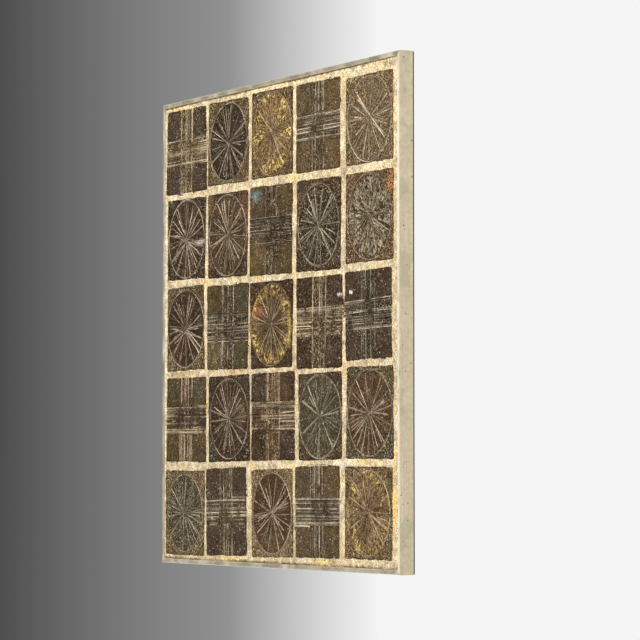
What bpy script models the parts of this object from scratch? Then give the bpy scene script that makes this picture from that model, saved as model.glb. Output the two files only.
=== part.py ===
"""Ceramic tile wall relief: hand-cut stoneware tiles with scratched wheels and crossings.

Twenty-five tiles stand in a bed of pale grout, on a dark board that four mitred metal rails
edge. Metres, +Z up. The origin is the centre of the wall face: the board's back lies in the
plane y = 0 and the tiles face -Y, with +X to the right of a person who looks at them.
Rows are counted from the top and columns from the left.
"""

import math
import random
from dataclasses import dataclass
from enum import Enum

import bmesh
import bpy
from mathutils import Matrix, Vector

MM = 0.001

# Driving dimensions
PANEL_SIDE = 1.000
PANEL_DEPTH = 0.033
BOARD_THICKNESS = 0.018
BOARD_PROUD = 0.003  # how far the board stands out behind the rails
BOARD_INSET = 0.0008  # how far the part behind the rails stays inside their outer faces
FIT_GAP = 0.0003  # between pieces that touch

# Metal rails, an angle section
LIP_WIDTH = 0.009
LIP_THICKNESS = 0.003
WALL_THICKNESS = 0.0032
ARRIS_RADIUS = 0.0012
ARRIS_STEPS = 3

# Grout bed
GROUT_RECESS = 0.0011  # below the rails' front
GROUT_EDGE_GAP = 0.0013  # the open line between the grout and the lip
POCKET_FLOOR = 0.0108  # below the rails' front

# Tiles
COLUMN_PITCH = 0.193
ROW_PITCH = 0.194
GRID_SHIFT = -0.004
TILE_RECESS = 0.0003
CORNER_CUT = 0.0035
FRONT_BEVEL = 0.0008

# Scratched lines
RING_RADIUS = 0.083
RING_WIDTH = 0.0030
RING_SEGMENTS = 26
GROOVE_DEPTH = 0.0012
GROOVE_WIDTHS = (0.0024, 0.0034)
RAY_STEP_WANDER = 0.18
HUB_WANDER = 0.004
HUB_CLEAR = (0.015, 0.022)
RAY_SHORTFALL = 0.012
BAND_SHARE = 0.27  # of a tile's side that its crossing lines take up
LINE_LEAN = 0.9 * MM
OVERRUN = 0.010  # how far a full line's cutter passes the tile's edge

CUTTER_LIFT = 0.0001  # a cutter's widest line stays this far off the face

# Turns the XY plane upright onto XZ, so that local +Z points to -Y
UPRIGHT = Matrix(((1, 0, 0, 0), (0, 0, -1, 0), (0, 1, 0, 0), (0, 0, 0, 1)))

RAIL_FRONT = -PANEL_DEPTH
RAIL_BACK = -BOARD_PROUD
HALF = PANEL_SIDE / 2
BOARD_HALF = HALF - WALL_THICKNESS - FIT_GAP
FOOT_HALF = HALF - BOARD_INSET
FOOT_FRONT = RAIL_BACK + FIT_GAP
BED_BACK = -BOARD_THICKNESS - FIT_GAP
BED_UNDER_LIP = RAIL_FRONT + LIP_THICKNESS + FIT_GAP
GROUT_FACE = RAIL_FRONT + GROUT_RECESS
GROUT_HALF = HALF - LIP_WIDTH - GROUT_EDGE_GAP
TILE_FACE = RAIL_FRONT + TILE_RECESS
TILE_BACK = RAIL_FRONT + POCKET_FLOOR - FIT_GAP


class Motif(Enum):
    """What is scratched into a tile."""

    WHEEL = "rays in a ring"
    CROSS = "two bands of lines that cross"


@dataclass(frozen=True)
class Tile:
    """One tile as it was laid: its place off the even grid, its size, its turn and its glaze."""

    motif: Motif
    glaze: str
    right: float  # mm off its place on the grid
    up: float
    width: float
    height: float
    turn: float  # degrees, anticlockwise
    flare: float = 0  # mm that the lower edge is longer than the upper one
    lines: int = 14


WHEEL = Motif.WHEEL
CROSS = Motif.CROSS

LAYING = (
    (
        Tile(CROSS, "olive", 4, 1, 187, 183, -0.5, 12, 3),
        Tile(WHEEL, "umber", 3, 2, 182, 178, -1.0, 6, 14),
        Tile(WHEEL, "amber", 0, 2, 177, 181, -0.5, 1, 16),
        Tile(CROSS, "moss", -4, -2, 179, 182, -0.5, 0, 4),
        Tile(WHEEL, "umber", 4, -7, 182, 175, 0.0, 0, 15),
    ),
    (
        Tile(WHEEL, "umber", 2, 4, 179, 176, -1.0, -4, 15),
        Tile(WHEEL, "umber", -2, 0, 179, 180, -0.5, -5, 16),
        Tile(CROSS, "moss", -6, -3, 183, 186, -1.0, 0, 3),
        Tile(WHEEL, "moss", -2, -6, 181, 186, -1.5, 1, 14),
        Tile(WHEEL, "ash", 4, -4, 184, 177, -0.5, 2, 16),
    ),
    (
        Tile(WHEEL, "umber", -1, 5, 174, 182, 0.5, 5, 15),
        Tile(CROSS, "moss", -3, 0, 186, 180, -1.0, -7, 3),
        Tile(WHEEL, "amber", -4, -3, 182, 180, 0.0, -10, 16),
        Tile(CROSS, "olive", 0, -7, 186, 185, -0.5, -2, 3),
        Tile(CROSS, "plum", 0, 0, 178, 175, 0.5, -2, 4),
    ),
    (
        Tile(CROSS, "ochre", 4, 3, 187, 182, -0.5, 3, 4),
        Tile(WHEEL, "umber", 5, 2, 186, 182, 0.5, 4, 16),
        Tile(CROSS, "olive", 3, 3, 185, 181, 0.0, 1, 3),
        Tile(WHEEL, "moss", 4, 0, 176, 175, 0.5, -1, 14),
        Tile(WHEEL, "umber", 5, 4, 180, 181, -0.5, 3, 15),
    ),
    (
        Tile(WHEEL, "moss", -3, -3, 184, 183, -0.5, -4, 14),
        Tile(CROSS, "plum", -7, 1, 181, 185, 1.0, 2, 4),
        Tile(WHEEL, "umber", 0, 0, 177, 181, 1.0, -1, 14),
        Tile(CROSS, "plum", -7, 4, 179, 184, 0.5, -2, 4),
        Tile(WHEEL, "amber", -1, 4, 182, 181, -0.5, 1, 16),
    ),
)

GLAZES = {
    "olive": (0.115, 0.095, 0.055),
    "umber": (0.080, 0.055, 0.042),
    "amber": (0.190, 0.120, 0.045),
    "moss": (0.080, 0.075, 0.052),
    "ash": (0.130, 0.110, 0.080),
    "plum": (0.062, 0.048, 0.045),
    "ochre": (0.110, 0.075, 0.042),
}
GLAZE_ROUGHNESS = 0.32
METAL = (0.56, 0.53, 0.44)
GROUT = (0.78, 0.68, 0.50)
BOARD = (0.020, 0.019, 0.018)


def clear_scene():
    """Removes every object, mesh owner and all."""
    for obj in list(bpy.data.objects):
        bpy.data.objects.remove(obj, do_unlink=True)


def new_collection(name, hidden=False):
    """A collection under the scene's own, left out of renders where it only holds cutters."""
    collection = bpy.data.collections.new(name)
    bpy.context.scene.collection.children.link(collection)
    collection.hide_render = hidden
    return collection


def finish(name, colour, roughness, metallic=0.0):
    """A plain Principled material."""
    material = bpy.data.materials.new(name)
    material.use_nodes = True
    shader = material.node_tree.nodes["Principled BSDF"]
    shader.inputs["Base Color"].default_value = (*colour, 1.0)
    shader.inputs["Roughness"].default_value = roughness
    shader.inputs["Metallic"].default_value = metallic
    return material


def mesh_object(name, mesh, collection, material=None):
    """Links a mesh as an object, with its material."""
    obj = bpy.data.objects.new(name, mesh)
    collection.objects.link(obj)
    if material:
        mesh.materials.append(material)
    return obj


def prism(outline, back, front):
    """A mesh with this (x, z) outline, between two depths along Y.

    The outline is a filled 2D curve, extruded both ways, then turned upright and welded.
    """
    curve = bpy.data.curves.new("outline", "CURVE")
    curve.dimensions = "2D"
    curve.fill_mode = "BOTH"
    curve.extrude = abs(front - back) / 2
    spline = curve.splines.new("POLY")
    spline.points.add(len(outline) - 1)
    for point, (x, z) in zip(spline.points, outline):
        point.co = (x, z, 0.0, 1.0)
    spline.use_cyclic_u = True
    holder = bpy.data.objects.new("outline", curve)
    bpy.context.scene.collection.objects.link(holder)
    graph = bpy.context.evaluated_depsgraph_get()
    mesh = bpy.data.meshes.new_from_object(holder.evaluated_get(graph))
    bpy.data.objects.remove(holder, do_unlink=True)
    mesh.transform(Matrix.Translation((0.0, (back + front) / 2, 0.0)) @ UPRIGHT)
    weld(mesh)
    return mesh


def weld(mesh):
    """Joins loose caps to their sides and turns every face outwards."""
    bm = bmesh.new()
    bm.from_mesh(mesh)
    bmesh.ops.remove_doubles(bm, verts=bm.verts, dist=1e-6)
    bmesh.ops.dissolve_limit(
        bm, angle_limit=math.radians(0.5), verts=bm.verts, edges=bm.edges
    )
    bmesh.ops.recalc_face_normals(bm, faces=bm.faces)
    bm.to_mesh(mesh)
    bm.free()


def block(half_x, half_z, back, front):
    """A box mesh centred on the panel's middle, between two depths."""
    mesh = bpy.data.meshes.new("block")
    bm = bmesh.new()
    size = (2 * half_x, back - front, 2 * half_z)
    place = Matrix.Translation((0.0, (back + front) / 2, 0.0)) @ Matrix.Diagonal((*size, 1.0))
    bmesh.ops.create_cube(bm, size=1.0, matrix=place)
    bm.to_mesh(mesh)
    bm.free()
    return mesh


def boolean(target, cutter, operation):
    """Adds an exact Boolean modifier."""
    modifier = target.modifiers.new(operation.lower(), "BOOLEAN")
    modifier.operation = operation
    modifier.solver = "EXACT"
    modifier.object = cutter
    return modifier


def cutter_object(name, mesh, collection):
    """A helper that cuts and is never rendered."""
    obj = mesh_object(name, mesh, collection)
    obj.hide_render = True
    obj.display_type = "WIRE"
    return obj


# Metal rails


def rail_section():
    """The angle section as (inward, y) points: a thin wall with a wider lip over the front."""
    points = [(0.0, RAIL_BACK)]
    for step in range(ARRIS_STEPS):
        angle = math.radians(90) * step / (ARRIS_STEPS - 1)
        inward = ARRIS_RADIUS * (1 - math.cos(angle))
        points.append((inward, RAIL_FRONT + ARRIS_RADIUS * (1 - math.sin(angle))))
    lip_back = RAIL_FRONT + LIP_THICKNESS
    points += [(LIP_WIDTH, RAIL_FRONT), (LIP_WIDTH, lip_back)]
    points += [(WALL_THICKNESS, lip_back), (WALL_THICKNESS, RAIL_BACK)]
    return points


def rail_mesh():
    """The top rail: its section swept along X, then cut at 45 degrees at both ends."""
    section = [(-y, HALF - inward) for inward, y in rail_section()]
    mesh = prism(section, -HALF, HALF)
    mesh.transform(Matrix.Rotation(math.radians(-90), 4, "Z"))
    for vertex in mesh.vertices:
        inward = HALF - vertex.co.z
        mitred = HALF - inward - FIT_GAP
        vertex.co.x = math.copysign(mitred, vertex.co.x)
    weld(mesh)
    return mesh


def build_rails(collection, material):
    """Four rails, each the top one turned about the panel's centre."""
    for name, quarter_turns in (("top", 0), ("left", 1), ("bottom", 2), ("right", 3)):
        rail = mesh_object(f"frame_rail_{name}", rail_mesh(), collection, material)
        rail.rotation_euler.y = math.radians(-90 * quarter_turns)


# Tiles and grout


def tile_centre(row, column, tile):
    """The tile's centre as (x, z)."""
    x = (column - 2) * COLUMN_PITCH + GRID_SHIFT + tile.right * MM
    z = (2 - row) * ROW_PITCH + tile.up * MM
    return x, z


def tile_outline(row, column, tile, grow=0.0):
    """The tile's outline on the face as (x, z) points, with its corners cut off.

    grow widens it evenly, for the pocket that the tile stands in.
    """
    centre_x, centre_z = tile_centre(row, column, tile)
    turn = math.radians(tile.turn)
    points = []
    for side_x, side_z in ((-1, -1), (1, -1), (1, 1), (-1, 1)):
        half_width = (tile.width - side_z * tile.flare / 2) * MM / 2
        corner = Vector((side_x * (half_width + grow), side_z * (tile.height * MM / 2 + grow)))
        along = Vector((-side_x * CORNER_CUT, 0.0))
        down = Vector((0.0, -side_z * CORNER_CUT))
        pair = [corner + along, corner + down]
        if side_x * side_z > 0:
            pair.reverse()
        points += pair
    spin = Matrix.Rotation(turn, 2)
    return [tuple(spin @ point + Vector((centre_x, centre_z))) for point in points]


@dataclass(frozen=True)
class Scratch:
    """A straight V-groove between two points of the tile's face, in the tile's own (x, z)."""

    start: Vector
    end: Vector
    width: float


def tile_random(row, column):
    """Each tile has its own seeded draws, so its lines never change."""
    return random.Random(101 * (row + 1) + 7 * (column + 1))


def ring_reach(hub, direction):
    """How far it is from the hub to the ring in this direction."""
    along = hub.dot(direction)
    return -along + math.sqrt(along**2 - hub.length_squared + RING_RADIUS**2)


def wheel_rays(row, column, tile):
    """The wheel's rays, which start clear of each other round the hub and stop at the ring."""
    draw = tile_random(row, column)
    hub = Vector((draw.uniform(-1, 1), draw.uniform(-1, 1))) * HUB_WANDER
    step = 2 * math.pi / tile.lines
    first = draw.uniform(0, step)
    rays = []
    for count in range(tile.lines):
        angle = first + step * (count + draw.uniform(-RAY_STEP_WANDER, RAY_STEP_WANDER))
        direction = Vector((math.cos(angle), math.sin(angle)))
        width = draw.uniform(*GROOVE_WIDTHS)
        inner = draw.uniform(*HUB_CLEAR)
        ring_edge = RING_WIDTH / 2 + width / 2 + FIT_GAP
        outer = ring_reach(hub, direction) - ring_edge - draw.uniform(0, RAY_SHORTFALL)
        rays.append(Scratch(hub + direction * inner, hub + direction * outer, width))
    return rays


def cross_lines(row, column, tile):
    """The crossing's level lines and upright lines, as two lists."""
    draw = tile_random(row, column)
    bands = []
    for length, across in ((tile.width * MM, tile.height * MM), (tile.height * MM, tile.width * MM)):
        band = BAND_SHARE * across
        lines = []
        for count in range(tile.lines):
            offset = band * (count / (tile.lines - 1) - 0.5) + draw.uniform(-1, 1) * 2 * MM
            lean = draw.uniform(-1, 1) * LINE_LEAN
            width = draw.uniform(*GROOVE_WIDTHS)
            reach = length / 2 + OVERRUN
            start = Vector((-reach, offset - lean))
            lines.append(Scratch(start, Vector((reach, offset + lean)), width))
        bands.append(lines)
    level, upright = bands
    upright = [Scratch(line.start.yx, line.end.yx, line.width) for line in upright]
    return level, upright


def on_face(row, column, tile):
    """The transform from the tile's own (x, depth, z) to the panel, with y = 0 at its face."""
    centre_x, centre_z = tile_centre(row, column, tile)
    turned = Matrix.Rotation(-math.radians(tile.turn), 4, "Y")
    return Matrix.Translation((centre_x, TILE_FACE - CUTTER_LIFT, centre_z)) @ turned


def scratch_cutter(scratches, to_panel):
    """One mesh of square bars, each laid on edge so that it cuts a V-groove."""
    mesh = bpy.data.meshes.new("scratches")
    bm = bmesh.new()
    into = Vector((0.0, 1.0, 0.0))
    for scratch in scratches:
        start = Vector((scratch.start.x, 0.0, scratch.start.y))
        end = Vector((scratch.end.x, 0.0, scratch.end.y))
        along = end - start
        across = into.cross(along.normalized())
        bar = Matrix.Identity(4)
        bar.col[0].xyz = across * (scratch.width / 2)
        bar.col[1].xyz = into * GROOVE_DEPTH
        bar.col[2].xyz = along
        bar.col[3].xyz = (start + end) / 2
        bmesh.ops.create_cone(
            bm, cap_ends=True, segments=4, radius1=1.0, radius2=1.0, depth=1.0, matrix=to_panel @ bar
        )
    bmesh.ops.recalc_face_normals(bm, faces=bm.faces)
    bm.to_mesh(mesh)
    bm.free()
    return mesh


def ring_cutter(to_panel):
    """A torus with a diamond section, which cuts the ring as a V-groove."""
    bpy.ops.mesh.primitive_torus_add(
        major_segments=RING_SEGMENTS,
        minor_segments=4,
        major_radius=RING_RADIUS,
        minor_radius=RING_WIDTH / 2,
    )
    torus = bpy.context.object
    mesh = torus.data.copy()
    bpy.data.objects.remove(torus, do_unlink=True)
    deepen = Matrix.Diagonal((1.0, GROOVE_DEPTH / (RING_WIDTH / 2), 1.0, 1.0))
    mesh.transform(to_panel @ deepen @ UPRIGHT)
    return mesh


def motif_cutters(row, column, tile):
    """The cutter meshes of a tile. No two grooves of one mesh meet."""
    to_panel = on_face(row, column, tile)
    if tile.motif is WHEEL:
        rays = scratch_cutter(wheel_rays(row, column, tile), to_panel)
        return {"ring": ring_cutter(to_panel), "rays": rays}
    level, upright = cross_lines(row, column, tile)
    return {"level": scratch_cutter(level, to_panel), "upright": scratch_cutter(upright, to_panel)}


def bevel_front(mesh):
    """Breaks the tile's front edge all round."""
    bm = bmesh.new()
    bm.from_mesh(mesh)
    front = min(vertex.co.y for vertex in bm.verts)
    rim = [
        edge
        for edge in bm.edges
        if all(abs(vertex.co.y - front) < FIT_GAP for vertex in edge.verts)
    ]
    bmesh.ops.bevel(
        bm, geom=rim, offset=FRONT_BEVEL, offset_type="OFFSET", segments=1, affect="EDGES"
    )
    bm.to_mesh(mesh)
    bm.free()


def build_tile(row, column, tile, collection, cutters, material):
    """One tile: a slab with a broken front edge, and its motif cut into the face."""
    name = f"tile_row{row + 1}_column{column + 1}"
    mesh = prism(tile_outline(row, column, tile), TILE_BACK, TILE_FACE)
    bevel_front(mesh)
    slab = mesh_object(name, mesh, collection, material)
    for part, cutter_mesh in motif_cutters(row, column, tile).items():
        cutter = cutter_object(f"{name}_{part}_cutter", cutter_mesh, cutters)
        boolean(slab, cutter, "DIFFERENCE")


def build_board(collection, cutters, material):
    """The board, rebated all round so that its back runs out under the rails."""
    mesh = block(BOARD_HALF, BOARD_HALF, -MM, -BOARD_THICKNESS)
    board = mesh_object("backing_board", mesh, collection, material)
    foot = block(FOOT_HALF, FOOT_HALF, 0.0, FOOT_FRONT)
    boolean(board, cutter_object("board_foot", foot, cutters), "UNION")


def build_grout(collection, cutters, material):
    """The grout: a bed that runs under the lips, a raised face, and a pocket for each tile."""
    bed_mesh = block(BOARD_HALF, BOARD_HALF, BED_BACK, BED_UNDER_LIP)
    bed = mesh_object("grout_bed", bed_mesh, collection, material)
    raised_mesh = block(GROUT_HALF, GROUT_HALF, BED_UNDER_LIP + MM, GROUT_FACE)
    boolean(bed, cutter_object("grout_face", raised_mesh, cutters), "UNION")
    pockets = bmesh.new()
    for row, tiles in enumerate(LAYING):
        for column, tile in enumerate(tiles):
            outline = tile_outline(row, column, tile, grow=FIT_GAP)
            pocket = prism(outline, RAIL_FRONT + POCKET_FLOOR, RAIL_FRONT - MM)
            pockets.from_mesh(pocket)
            bpy.data.meshes.remove(pocket)
    pocket_mesh = bpy.data.meshes.new("pockets")
    pockets.to_mesh(pocket_mesh)
    pockets.free()
    boolean(bed, cutter_object("tile_pockets_cutter", pocket_mesh, cutters), "DIFFERENCE")


def main():
    """Builds the relief."""
    clear_scene()
    relief = new_collection("ceramic_tile_wall_relief")
    cutters = new_collection("cutters", hidden=True)
    build_board(relief, cutters, finish("blackened_board", BOARD, 0.7))
    build_rails(relief, finish("satin_metal", METAL, 0.42, metallic=1.0))
    build_grout(relief, cutters, finish("sandy_grout", GROUT, 0.9))
    glazes = {
        name: finish(f"{name}_glaze", colour, GLAZE_ROUGHNESS)
        for name, colour in GLAZES.items()
    }
    for row, tiles in enumerate(LAYING):
        for column, tile in enumerate(tiles):
            build_tile(row, column, tile, relief, cutters, glazes[tile.glaze])


if __name__ == "__main__":
    main()
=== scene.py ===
"""Looks of the ceramic tile wall relief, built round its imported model.

Twenty-five hand-cut stoneware tiles stand in sandy grout on a dark board that four mitred
metal rails edge. Metres, +Z up. The tiles face -Y and the wall face is the plane y = 0.
Tile work is drawn in millimetres from the tile's own centre, x to the right and z up, with
heights measured outwards from the face. Rows are counted from the top, columns from the left.
"""

from __future__ import annotations

import logging
import math
import random
from collections.abc import Iterable, Sequence
from dataclasses import dataclass, field
from enum import Enum

import bpy
import numpy as np
from mathutils import Matrix, Vector
from mathutils.geometry import delaunay_2d_cdt


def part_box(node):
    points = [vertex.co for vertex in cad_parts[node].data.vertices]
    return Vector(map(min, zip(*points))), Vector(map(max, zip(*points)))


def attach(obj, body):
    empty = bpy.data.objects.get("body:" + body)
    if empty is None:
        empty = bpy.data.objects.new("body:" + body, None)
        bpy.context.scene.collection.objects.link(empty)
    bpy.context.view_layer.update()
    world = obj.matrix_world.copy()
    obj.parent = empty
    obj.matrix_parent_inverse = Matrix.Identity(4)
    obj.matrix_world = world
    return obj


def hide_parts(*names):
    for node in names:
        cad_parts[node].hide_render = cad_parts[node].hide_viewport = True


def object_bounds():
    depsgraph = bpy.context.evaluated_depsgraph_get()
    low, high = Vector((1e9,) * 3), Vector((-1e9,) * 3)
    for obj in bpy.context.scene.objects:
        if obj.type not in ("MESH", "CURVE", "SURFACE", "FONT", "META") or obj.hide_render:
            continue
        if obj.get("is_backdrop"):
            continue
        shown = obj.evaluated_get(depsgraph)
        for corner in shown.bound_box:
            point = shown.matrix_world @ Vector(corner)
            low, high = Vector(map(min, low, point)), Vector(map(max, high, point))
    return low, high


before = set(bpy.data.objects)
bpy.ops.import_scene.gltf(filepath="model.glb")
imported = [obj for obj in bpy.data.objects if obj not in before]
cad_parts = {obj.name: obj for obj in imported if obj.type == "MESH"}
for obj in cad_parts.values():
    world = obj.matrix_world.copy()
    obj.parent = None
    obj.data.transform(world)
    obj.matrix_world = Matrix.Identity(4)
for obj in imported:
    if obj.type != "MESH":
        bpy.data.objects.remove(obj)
CAD_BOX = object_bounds()

LOG = logging.getLogger("relief")

MM = 0.001
ROOT = "root"
FAR_OUT = -99.0

Array = np.ndarray
Colour = tuple[float, float, float]
Point = tuple[float, float]


# Small helpers


def paint(red: int, green: int, blue: int) -> Colour:
    """An 8-bit display colour as linear light."""
    return tuple(((value / 255 + 0.055) / 1.055) ** 2.4 for value in (red, green, blue))


def ease(low: float, high: float, value: Array) -> Array:
    """Rises smoothly from 0 at low to 1 at high, or falls where low is the larger."""
    step = np.clip((value - low) / (high - low), 0.0, 1.0)
    return step * step * (3.0 - 2.0 * step)


def dome(value: Array) -> Array:
    """1 at zero, falling to 0 at plus or minus 1."""
    return np.clip(1.0 - value * value, 0.0, None)


class Ripple:
    """Smooth seeded unevenness: sine waves of mixed lengths that run in all directions."""

    def __init__(self, seed: int, shortest: float, longest: float, waves: int = 12) -> None:
        """Draws the waves.

        Args:
            seed: what the draws start from.
            shortest: the shortest wavelength, in mm.
            longest: the longest wavelength, in mm.
            waves: how many waves are added.
        """
        draw = np.random.default_rng(seed)
        length = np.exp(draw.uniform(math.log(shortest), math.log(longest), waves))
        angle = draw.uniform(0.0, math.tau, waves)
        self.right = np.cos(angle) * math.tau / length
        self.up = np.sin(angle) * math.tau / length
        self.phase = draw.uniform(0.0, math.tau, waves)
        weight = np.sqrt(length / longest)
        self.weight = weight * math.sqrt(2.0) / np.linalg.norm(weight)

    def __call__(self, x: Array, z: Array) -> Array:
        """The unevenness at some places.

        Args:
            x: the points' x in mm.
            z: their z in mm.

        Returns:
            The height there, with a spread of about 1 round 0.
        """
        total = np.zeros_like(x)
        for right, up, phase, weight in zip(self.right, self.up, self.phase, self.weight):
            total += weight * np.sin(right * x + up * z + phase)
        return total


def depth_inside(x: Array, z: Array, loop: Array) -> Array:
    """How far points lie inside a closed loop.

    Args:
        x: the points' x.
        z: the points' z.
        loop: the loop's corners, one (x, z) a row.

    Returns:
        The distance to the loop, negative outside it.
    """
    nearest = np.full(x.shape, np.inf)
    inside = np.zeros(x.shape, bool)
    for (x0, z0), (x1, z1) in zip(loop, np.roll(loop, -1, axis=0)):
        along_x, along_z = x1 - x0, z1 - z0
        length = along_x * along_x + along_z * along_z
        share = np.clip(((x - x0) * along_x + (z - z0) * along_z) / length, 0.0, 1.0)
        gap = (x - x0 - share * along_x) ** 2 + (z - z0 - share * along_z) ** 2
        nearest = np.minimum(nearest, gap)
        if z0 != z1:
            crossing = x0 + (z - z0) * along_x / along_z
            inside ^= ((z0 > z) != (z1 > z)) & (x < crossing)
    return np.where(inside, 1.0, -1.0) * np.sqrt(nearest)


def depth_in_any(points: Array, loops: Sequence[Array], margin: float = 8.0) -> Array:
    """How far points lie inside whichever of some loops they are near.

    Args:
        points: one (x, z) a row.
        loops: the loops, well apart from each other.
        margin: how far round a loop it is measured.

    Returns:
        The distance to the loop, negative outside it, and FAR_OUT beyond the margin.
    """
    depth = np.full(len(points), FAR_OUT)
    for loop in loops:
        low, high = loop.min(axis=0) - margin, loop.max(axis=0) + margin
        near = ((points > low) & (points < high)).all(axis=1)
        depth[near] = np.maximum(depth[near], depth_inside(*points[near].T, loop))
    return depth


def inset_loop(loop: Array, inset: float) -> Array:
    """Moves an anticlockwise loop inwards.

    Args:
        loop: its corners, one (x, z) a row.
        inset: how far.

    Returns:
        The new corners.
    """
    ahead = np.roll(loop, -1, axis=0) - np.roll(loop, 1, axis=0)
    ahead /= np.linalg.norm(ahead, axis=1, keepdims=True)
    return loop + np.stack([-ahead[:, 1], ahead[:, 0]], axis=1) * inset


# Mesh making


class SheetMesh:
    """A flat triangulation that keeps given lines as edges."""

    def __init__(self, outline: Array) -> None:
        """Starts from its outline.

        Args:
            outline: one (x, z) a row in mm, closed and anticlockwise.
        """
        self.points: list[Array] = [outline]
        self.edges: list[tuple[int, int]] = []
        self.face = list(range(len(outline)))
        self.count = len(outline)

    def add_points(self, points: Array) -> int:
        """Adds loose points.

        Args:
            points: one (x, z) a row.

        Returns:
            The number of the first.
        """
        first = self.count
        self.points.append(points)
        self.count += len(points)
        return first

    def add_line(self, points: Array, keep: Array | None = None, closed: bool = False) -> None:
        """Adds a run of points joined by edges.

        Args:
            points: the run, one (x, z) a row.
            keep: which of them to keep; an edge needs both its ends.
            closed: whether the last joins the first.
        """
        keep = np.ones(len(points), bool) if keep is None else keep
        first = self.add_points(points[keep])
        number = np.cumsum(keep) - 1 + first
        pairs = range(len(points) if closed else len(points) - 1)
        for here in pairs:
            there = (here + 1) % len(points)
            if keep[here] and keep[there]:
                self.edges.append((int(number[here]), int(number[there])))

    def triangulate(self, nearness: float = 0.01) -> tuple[Array, Array]:
        """Joins the points into triangles.

        Args:
            nearness: how near points become one, in mm.

        Returns:
            The points as (x, z) rows, and the triangles.
        """
        places = [Vector(point) for point in np.concatenate(self.points).tolist()]
        made = delaunay_2d_cdt(places, self.edges, [self.face], 1, nearness, False)
        return np.array([tuple(point) for point in made[0]]), np.array(made[2])


def border_loops(triangles: Array) -> list[list[int]]:
    """Joins the edges that only one triangle has into loops.

    Args:
        triangles: three point numbers a row.

    Returns:
        The loops' point numbers, in the triangles' own turn.
    """
    ahead = np.concatenate([triangles[:, [0, 1]], triangles[:, [1, 2]], triangles[:, [2, 0]]])
    known = set(map(tuple, ahead.tolist()))
    follow = {a: b for a, b in known if (b, a) not in known}
    loops = []
    while follow:
        start, here = next(iter(follow.items()))
        loop = [start]
        del follow[start]
        while here != start:
            loop.append(here)
            here = follow.pop(here)
        loops.append(loop)
    return loops


@dataclass
class Shell:
    """A closed mesh in the making: points, faces and what each point carries."""

    points: list[tuple[float, float, float]] = field(default_factory=list)
    faces: list[list[int]] = field(default_factory=list)

    def object(self, name: str, material: bpy.types.Material, crease: float) -> bpy.types.Object:
        """Makes the object, smooth except at sharp edges.

        Args:
            name: its name.
            material: its finish.
            crease: from how many degrees an edge stays sharp.

        Returns:
            The object, in the scene.
        """
        mesh = bpy.data.meshes.new(name)
        mesh.from_pydata(self.points, [], self.faces)
        mesh.materials.append(material)
        mesh.shade_smooth()
        mesh.set_sharp_from_angle(angle=math.radians(crease))
        obj = bpy.data.objects.new(name, mesh)
        bpy.context.scene.collection.objects.link(obj)
        return obj


def carry(obj: bpy.types.Object, name: str, kind: str, values: Array) -> None:
    """Stores one value a point on the object's mesh.

    Args:
        obj: the object.
        name: the attribute's name, which materials read.
        kind: FLOAT, FLOAT_VECTOR or FLOAT_COLOR.
        values: one row a point.
    """
    slot = {"FLOAT": "value", "FLOAT_VECTOR": "vector", "FLOAT_COLOR": "color"}[kind]
    if kind == "FLOAT_COLOR":
        values = np.concatenate([values, np.ones((len(values), 1))], axis=1)
    attribute = obj.data.attributes.new(name, kind, "POINT")
    attribute.data.foreach_set(slot, np.ascontiguousarray(values, np.float32).ravel())


# Shader wiring


Socket = bpy.types.NodeSocket
Tree = bpy.types.NodeTree


def node(tree: Tree, kind: str, inputs: dict | None = None, **settings: object) -> bpy.types.Node:
    """Adds a node.

    Args:
        tree: where it goes.
        kind: the node's type.
        inputs: values or sockets for its inputs, by name or number.
        **settings: the node's own properties.

    Returns:
        The node.
    """
    made = tree.nodes.new(kind)
    for name, value in settings.items():
        setattr(made, name, value)
    for name, value in (inputs or {}).items():
        if isinstance(value, bpy.types.NodeSocket):
            tree.links.new(value, made.inputs[name])
            continue
        if isinstance(value, tuple) and made.inputs[name].type == "RGBA":
            value = (*value[:3], 1.0)
        made.inputs[name].default_value = value
    return made


def maths(tree: Tree, operation: str, *values: object, clamp: bool = False) -> Socket:
    """The result of a Math node."""
    inputs = dict(enumerate(values))
    return node(tree, "ShaderNodeMath", inputs, operation=operation, use_clamp=clamp).outputs[0]


def tint(tree: Tree, share: object, first: object, second: object, mode: str = "MIX") -> Socket:
    """The first colour mixed with the second by share."""
    inputs = {0: share, 6: first, 7: second}
    return node(tree, "ShaderNodeMix", inputs, data_type="RGBA", blend_type=mode).outputs[2]


def spread(tree: Tree, value: Socket, low: object, high: object, to: tuple = (0.0, 1.0)) -> Socket:
    """The value mapped smoothly from low..high to the two ends of to, and held there."""
    inputs = {0: value, 1: low, 2: high, 3: to[0], 4: to[1]}
    return node(tree, "ShaderNodeMapRange", inputs, interpolation_type="SMOOTHSTEP").outputs[0]


def noise(tree: Tree, place: Socket, scale: object, detail: float = 3.0) -> Socket:
    """Soft noise of the place."""
    inputs = {"Vector": place, "Scale": scale, "Detail": detail, "Roughness": 0.6}
    return node(tree, "ShaderNodeTexNoise", inputs).outputs["Fac"]


def attribute(tree: Tree, name: str, output: str) -> Socket:
    """What the mesh carries under this name."""
    return node(tree, "ShaderNodeAttribute", attribute_name=name).outputs[output]


def bump(tree: Tree, height: Socket, strength: float, distance: float) -> Socket:
    """The normal that a height makes, where 1 stands distance mm high."""
    inputs = {"Strength": strength, "Distance": distance * MM, "Height": height}
    return node(tree, "ShaderNodeBump", inputs).outputs[0]


def wire(tree: Tree, shader: bpy.types.Node, **sockets: Socket) -> None:
    """Links each socket to the shader's input of its name, with _ for a space."""
    for label, socket in sockets.items():
        tree.links.new(socket, shader.inputs[label.replace("_", " ")])


def own_place(tree: Tree) -> Socket:
    """The place on the object, in metres."""
    return node(tree, "ShaderNodeTexCoord").outputs["Object"]


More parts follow.
